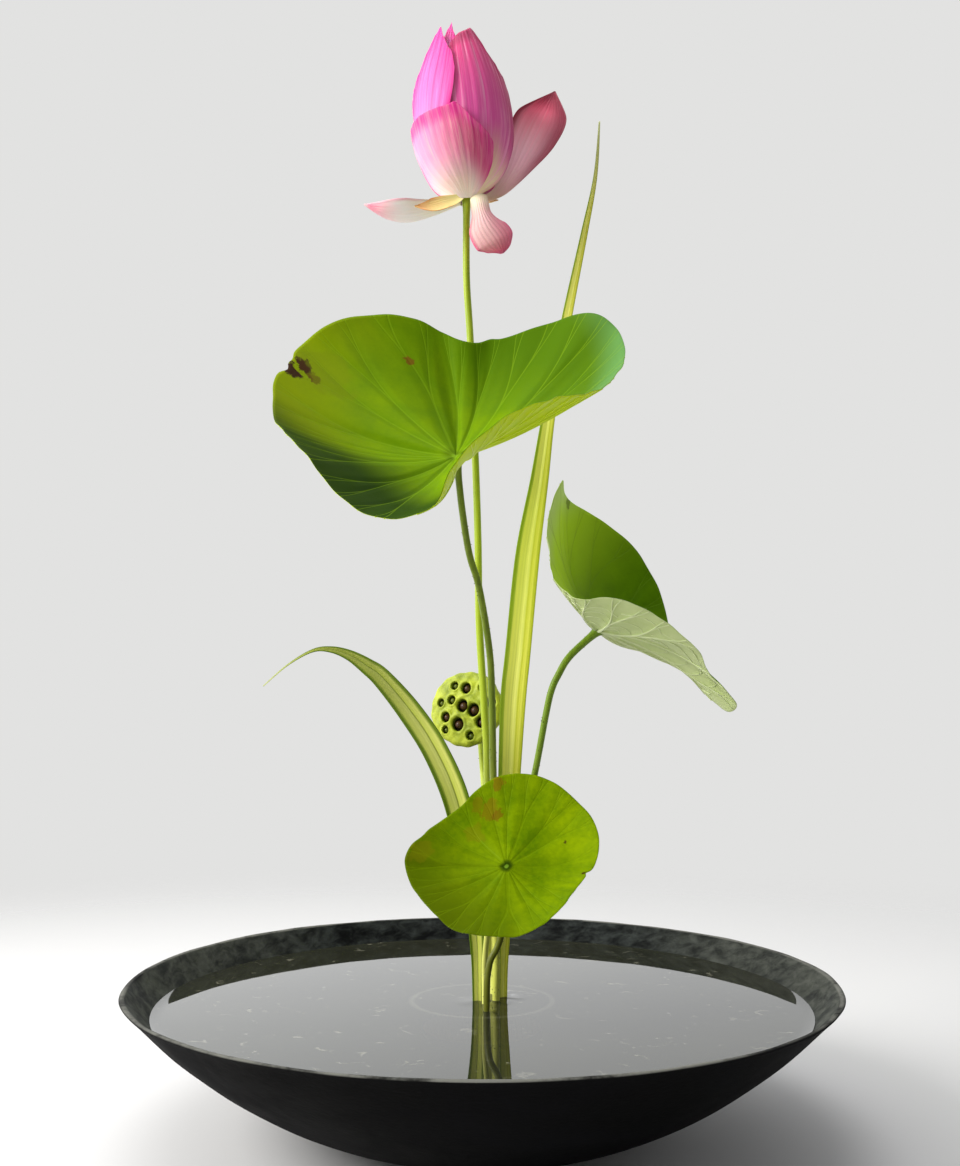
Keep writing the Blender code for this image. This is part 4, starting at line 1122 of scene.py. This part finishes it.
def petalGroup():
    tree, take, give = newGroup("petalBlush",
                                "Foot Color, Middle Color, Tip Color, Rim Color, Streak Color, Side Color, "
                                "Share Float, Streaks Float, Blush Float, Edge Float",
                                "Colour Color, Height Float")
    sheet = node("ShaderNodeUVMap", uv_map="flat")
    u, v = split(sheet)[:2]
    lines = noise(stretch(sheet, 26, 1.1, 1), 1.0, 4, 0.6, 0.2)
    fine = noise(stretch(sheet, 120, 1.6, 1), 1.0, 3, 0.6)
    beside = times(calc("ABSOLUTE", minus(u, 0.5)), 2.0)
    climb = plus(v, times(minus(lines, 0.5), 0.30))
    colour = mix(fade(climb, 0.0, take["Blush"]), take["Foot"], take["Middle"])
    colour = mix(fade(climb, take["Blush"], 1.0), colour, take["Tip"])
    # the side towards the right turns deeper: partly the petal's own colour, partly painted shade
    colour = mix(times(fade(u, 0.38, 0.92), take["Share"], fade(v, 0.1, 0.55)), colour, take["Side"])
    rim = fade(calc("MAXIMUM", beside, fade(v, 0.5, 1.0)), minus(1.0, take["Edge"]), 1.0)
    colour = mix(times(rim, fade(v, 0.15, 0.6)), colour, take["Rim"])
    colour = mix(times(fade(lines, 0.48, 0.66), take["Streaks"], minus(1.0, rim)), colour, take["Streak"])
    wire(mix(fade(fine, 0.35, 0.7, 0.0, 0.22), colour, take["Streak"]), give["Colour"])
    wire(plus(times(lines, 0.6), times(fine, 0.4)), give["Height"])
    return tree


def petalFinish(name, look):
    paint, skin = newMaterial(name, {"Roughness": 0.55, "Specular IOR Level": 0.2, "Subsurface Weight": 0.12,
                                     "Subsurface Scale": 0.002, "Subsurface Radius": (1.0, 0.25, 0.5)})
    coat = useGroup(petalBlush, {key.title(): tone(*value) if isinstance(value, tuple) else value
                                 for key, value in look.items()})
    dress(skin, coat["Colour"], normal=bump(coat["Height"], 0.0006, 0.5))
    return paint


petalBlush = petalGroup()
petalFinishes = {name: petalFinish(name, look) for name, look in petalLooks.items()}


def finishPetal(name, grid, thick, finish):
    rows, columns = grid.shape[:2]
    flat = np.stack(np.meshgrid(np.linspace(0, 1, columns), np.linspace(0, 1, rows)), -1)
    piece = closedSheet(name + "Skin", grid, thick, flat, [petalFinishes[finish]])
    settle(piece, petalSlots.get(finish, "pink_petal"), name)


def budAxes(s):
    base = np.array(s["base"], float)
    axis = unit(np.array(s["top"], float) - base)
    toward = unit(np.array((0, -1.0, 0)) - axis * -axis[1])
    return base, axis, toward, -np.cross(toward, axis)


def makeBudPetal(name, spec, s):
    base, axis, toward, right = budAxes(s)
    u = np.linspace(0, 1, s["rows"])[:, None]
    v = np.linspace(-1, 1, s["columns"])[None]
    left, far = (lookup([(side[0], side[k]) for side in spec["sides"]], u) for k in (1, 2))
    heading = np.radians(left + (far - left) * (v + 1) / 2)
    height = spec["foot"] + (lookup(spec["top"], v) - spec["foot"]) * u
    below4, below2, middle, above2, above4 = (lookup(s["profile"], height + step)
                                              for step in (-4, -2, 0, 2, 4))
    slope = (above2 - below2) / 4
    offset = (spec["layer"] - 1) * s["layer"]
    steep = np.sqrt(1 + slope ** 2)
    rim = np.maximum(smooth(0.72, 1.0, np.abs(v)), smooth(0.86, 1.0, u))
    ridges = 0.16 * np.sin(v * 34 + np.sin(u * 5)) * smooth(0, 0.2, u) + 0.1 * np.sin(v * 71 + 1)
    flank = s["squeeze"] * np.clip(-np.sin(heading), 0, 1) ** 2
    flank = flank * (1 - 0.75 * smooth(58, 92, height)) * smooth(0, 25, height)
    reach = ((above4 + below4 + 2 * middle) / 4 - flank + offset / steep - spec["draw"] * u ** 3
             + spec["lip"] * rim * smooth(0.1, 0.4, u) + ridges)
    lift = height - offset * slope / steep
    grid = (base + axis * lift[..., None] + toward * (np.cos(heading) * reach)[..., None]
            + right * (np.sin(heading) * reach)[..., None])
    finishPetal(name, grid, s["thick"] * (1 - 0.5 * rim), spec.get("finish", "upperPetal"))


def makeOpenPetal(name, spec, s):
    knots = [p + (w,) for p, w in zip(spec["spine"], spec["halves"])]
    points = np.array(curvePoints(knots, s["openRows"]))
    spine, half = points[:, :3], np.maximum(points[:, 3:], 0.4)
    ahead = unit(np.gradient(spine, axis=0))
    side = np.array(spec["across"], float)
    side = unit(side - ahead * (ahead @ side)[:, None])
    up = np.array(spec["riseTo"], float)
    up = unit(up - ahead * (ahead @ up)[:, None] - side * (side @ up)[:, None])
    v = np.linspace(-1, 1, s["openColumns"])[None]
    rise = spec["rise"] * (half / half.max()) * v ** 2
    ridges = 0.14 * np.cos(v * 30) * smooth(0, 0.3, np.linspace(0, 1, len(half)))[:, None]
    grid = spine[:, None] + side[:, None] * (half * v)[..., None] + up[:, None] * (rise + ridges)[..., None]
    finishPetal(name, grid, s["thick"] * (1 - 0.5 * np.abs(v) ** 3), spec["finish"])


for make, petals in ((makeBudPetal, budPetals), (makeOpenPetal, openPetals)):
    for petalName, petalSpec in petals.items():
        make(petalName, petalSpec, budSizes)
print("petals made")

# receptacle and stamens, inside the bud
heartSizes = dict(outline=((0, 6.5), (3, 8), (12, 11), (24, 14), (26.5, 13.6), (27, 12.5), (27, 8)),
                  ring=15.2, count=90, foot=12.0, length=16.0, thread=0.28, anther=0.7, lean=0.32, seed=5)


def stamenTree():
    tree, take, give = newTree("stamenRing",
                               "Count Int, Ring radius Float, Length Float, Thread radius Float, "
                               "Anther radius Float, Lean Float, Seed Int, Place Vector, Turn Vector, "
                               "Thread finish Material, Anther finish Material")
    ring = geo("CurvePrimitiveCircle", {"Resolution": take["Count"], "Radius": take["Ring radius"]})
    spots = geo("CurveToPoints", {"Curve": ring, "Count": take["Count"]}, mode="COUNT")
    stalk = geo("MeshCylinder", {"Vertices": 6, "Radius": take["Thread radius"], "Depth": take["Length"]})
    stalk = moved(stalk, Translation=xyz(z=times(take["Length"], 0.5)))
    head = geo("MeshUVSphere", {"Segments": 7, "Rings": 6, "Radius": take["Anther radius"]})
    head = moved(head, Translation=xyz(z=take["Length"]), Scale=(1, 1, 3.4))
    one = joined(painted(stalk, take["Thread finish"]), painted(head, take["Anther finish"]))
    x, y = split(geo("InputPosition"))[:2]
    aim = vec("ADD", vec("SCALE", vec("NORMALIZE", xyz(x, y)), scale=take["Lean"]), (0, 0, 1))
    stir = node("FunctionNodeRandomValue", {0: (-0.16, -0.16, 0), 1: (0.16, 0.16, 0.1), "Seed": take["Seed"]},
                data_type="FLOAT_VECTOR")
    turn = node("FunctionNodeAlignRotationToVector", {"Vector": vec("ADD", aim, stir)}, axis="Z")
    size = node("FunctionNodeRandomValue", {2: 0.8, 3: 1.08, "Seed": take["Seed"]}, 1, data_type="FLOAT")
    crowd = geo("InstanceOnPoints", {"Points": spots, "Instance": one, "Rotation": turn, "Scale": size})
    wire(real(moved(crowd, Translation=take["Place"], Rotation=take["Turn"])), give["Geometry"])
    return tree


def makeHeart(s):
    base, axis, toward, right = budAxes(budSizes)
    tilt = Vector(axis).to_track_quat("Z", "Y").to_euler()
    turned = np.array(tilt.to_matrix())
    cream = mottledFinish("heartSkin", (222, 214, 96), (186, 190, 60), 120.0, 0.55)
    core = revolve("receptacle", [(0, 3), *s["outline"]], [cream], 64,
                   shift=lambda grid: grid @ turned.T + base + axis)
    settle(core, "pod", "flower_receptacle")
    thread = plainFinish("stamenThread", 0.5, 244, 232, 170)
    anther = plainFinish("stamenAnther", 0.6, 236, 190, 60)
    ring = runTree(startObject("stamenStart"), stamenTree(), {
        "Count": s["count"], "Ring radius": s["ring"] * mm, "Length": s["length"] * mm,
        "Thread radius": s["thread"] * mm, "Anther radius": s["anther"] * mm, "Lean": s["lean"],
        "Seed": s["seed"], "Place": tuple((base + axis * s["foot"]) * mm), "Turn": tuple(tilt),
        "Thread finish": thread, "Anther finish": anther}, "stamens")
    settle(ring, "stamen", "flower_stamens")


makeHeart(heartSizes)
print("flower's heart made")

# side: depth behind the face, radius.
# seeds: share of the radius, heading, size of the pocket, ripe or still green.
podSizes = dict(
    face=(-13, 38, 295), look=(-0.34, -0.92, 0.16), radius=26.5, crown=3.0, sides=180, rings=60, scallops=17,
    pocketRadius=4.1, pocketDepth=6.5, pocketLip=0.6, seedRadius=3.0, seedDepth=4.2, seedRings=12,
    seedEvery=10,
    side=((1.0, 28.0), (2.5, 28.9), (5, 29.0), (8, 27.6), (12, 24.6), (16, 20.8), (20, 17), (24, 13), (29, 9),
          (33, 6), (38, 3.6)),
    seeds=((0.08, 130, 1.15, 1), (0.30, -12, 1.2, 1), (0.46, 150, 0.8, 0), (0.58, 88, 1.0, 1),
           (0.74, 118, 0.72, 0), (0.76, 168, 0.7, 0), (0.62, 205, 0.9, 1), (0.50, 250, 1.2, 1),
           (0.80, 50, 0.8, 1), (0.82, 12, 0.95, 1), (0.66, -38, 1.0, 1), (0.82, -75, 0.78, 0),
           (0.84, 228, 0.66, 0)))


def podFinish():
    paint, skin = newMaterial("podSkin", {"Roughness": 0.55, "Specular IOR Level": 0.35})
    coat = mottled(objectPlace(), 90.0, tone(190, 200, 56), tone(122, 138, 26), 3.0)
    # the pockets are painted darker, a dull ring on their slopes and near black deep inside: painted shade in
    # the hollows
    depth = node("ShaderNodeAttribute", out="Fac", attribute_name="pocket")
    ring = mix(fade(depth, 0.02, 0.30), coat["Colour"], tone(110, 124, 34))
    dress(skin, mix(fade(depth, 0.3, 0.8), ring, tone(46, 44, 18)), normal=bump(coat["Height"], 0.0008, 0.6))
    return paint


def makePod(s):
    look = unit(np.array(s["look"], float))
    right = unit(np.cross((0, 0, 1.0), look))
    up = np.cross(look, right)
    middle = np.array(s["face"], float)
    turn = 2 * pi * np.arange(s["sides"]) / s["sides"]

    def loop(x, y, rise):                                # a ring of points in front of the face's middle
        return middle + right * x[:, None] + up * y[:, None] + look * np.reshape(rise, (-1, 1))

    pockets = [(f * s["radius"] * cos(radians(a)), f * s["radius"] * sin(radians(a)), size, ripe)
               for f, a, size, ripe in s["seeds"]]
    loops, depths = [], []
    for share in np.arange(1, s["rings"] + 1) / s["rings"]:        # the face, with its pockets sunk into it
        x, y = s["radius"] * share * np.cos(turn), s["radius"] * share * np.sin(turn)
        rise = s["crown"] * (1 - share ** 2) + 0.35 * np.sin(x * 0.7 + 1) * np.sin(y * 0.6)
        sunk = np.zeros(len(turn))
        for a, b, size, ripe in pockets:
            away = np.hypot((x - a) * 1.08, (y - b) * 0.94) / size
            sunk = np.maximum(sunk, 1 - smooth(s["pocketRadius"] * 0.82, s["pocketRadius"] * 1.08, away))
            rise = rise + s["pocketLip"] * np.exp(-((away - s["pocketRadius"] * 1.35) / 1.1) ** 2)
        loops.append(loop(x, y, rise - sunk * s["pocketDepth"]))
        depths.append(sunk)
    for d, r in s["side"]:
        waves = np.cos(turn * s["scallops"]) + np.cos(turn * 5 + 1)
        r = r * (1 + 0.01 * waves * float(smooth(0, 2, d) * (1 - smooth(8, 24, d))))
        loops.append(loop(r * np.cos(turn), r * np.sin(turn), -d))
        depths.append(np.zeros(len(turn)))
    grid = np.array(loops)
    piece = ringSolid("seedPod", grid, [grid[0].mean(0), grid[-1].mean(0)], [podFinish()])
    mark = piece.data.attributes.new("pocket", "FLOAT", "POINT")
    sunken = np.append(np.array(depths).ravel(), [depths[0].mean(), 0])
    mark.data.foreach_set("value", sunken.astype(np.float32))
    settle(piece, "pod", "seed_pod")

    skins = [mottledFinish("greenSeed", (112, 122, 36), (64, 72, 20), 160.0, 0.32),
             mottledFinish("ripeSeed", (92, 58, 34), (40, 24, 14), 160.0, 0.32)]
    t = pi * np.arange(1, s["seedRings"])[:, None, None] / s["seedRings"]
    turn = turn[::s["seedEvery"]]
    around = right * np.cos(turn)[:, None] + up * np.sin(turn)[:, None]
    for number, (a, b, size, ripe) in enumerate(pockets, 1):
        r = s["seedRadius"] * (0.35 + 0.6 * size)
        crown = s["crown"] * (1 - (hypot(a, b) / s["radius"]) ** 2)
        heart = middle + right * a + up * b + look * (crown - s["seedDepth"])
        grid = heart + look * (r * 1.15 * np.cos(t)) + around * (r * np.sin(t))
        ends = [heart + look * r * 1.2, heart - look * r * 1.15]
        settle(ringSolid(f"seed{number:02d}", grid, ends, [skins[ripe]], 80), "seed",
               f"lotus_seed_{number:02d}")


makePod(podSizes)
print("pod made")
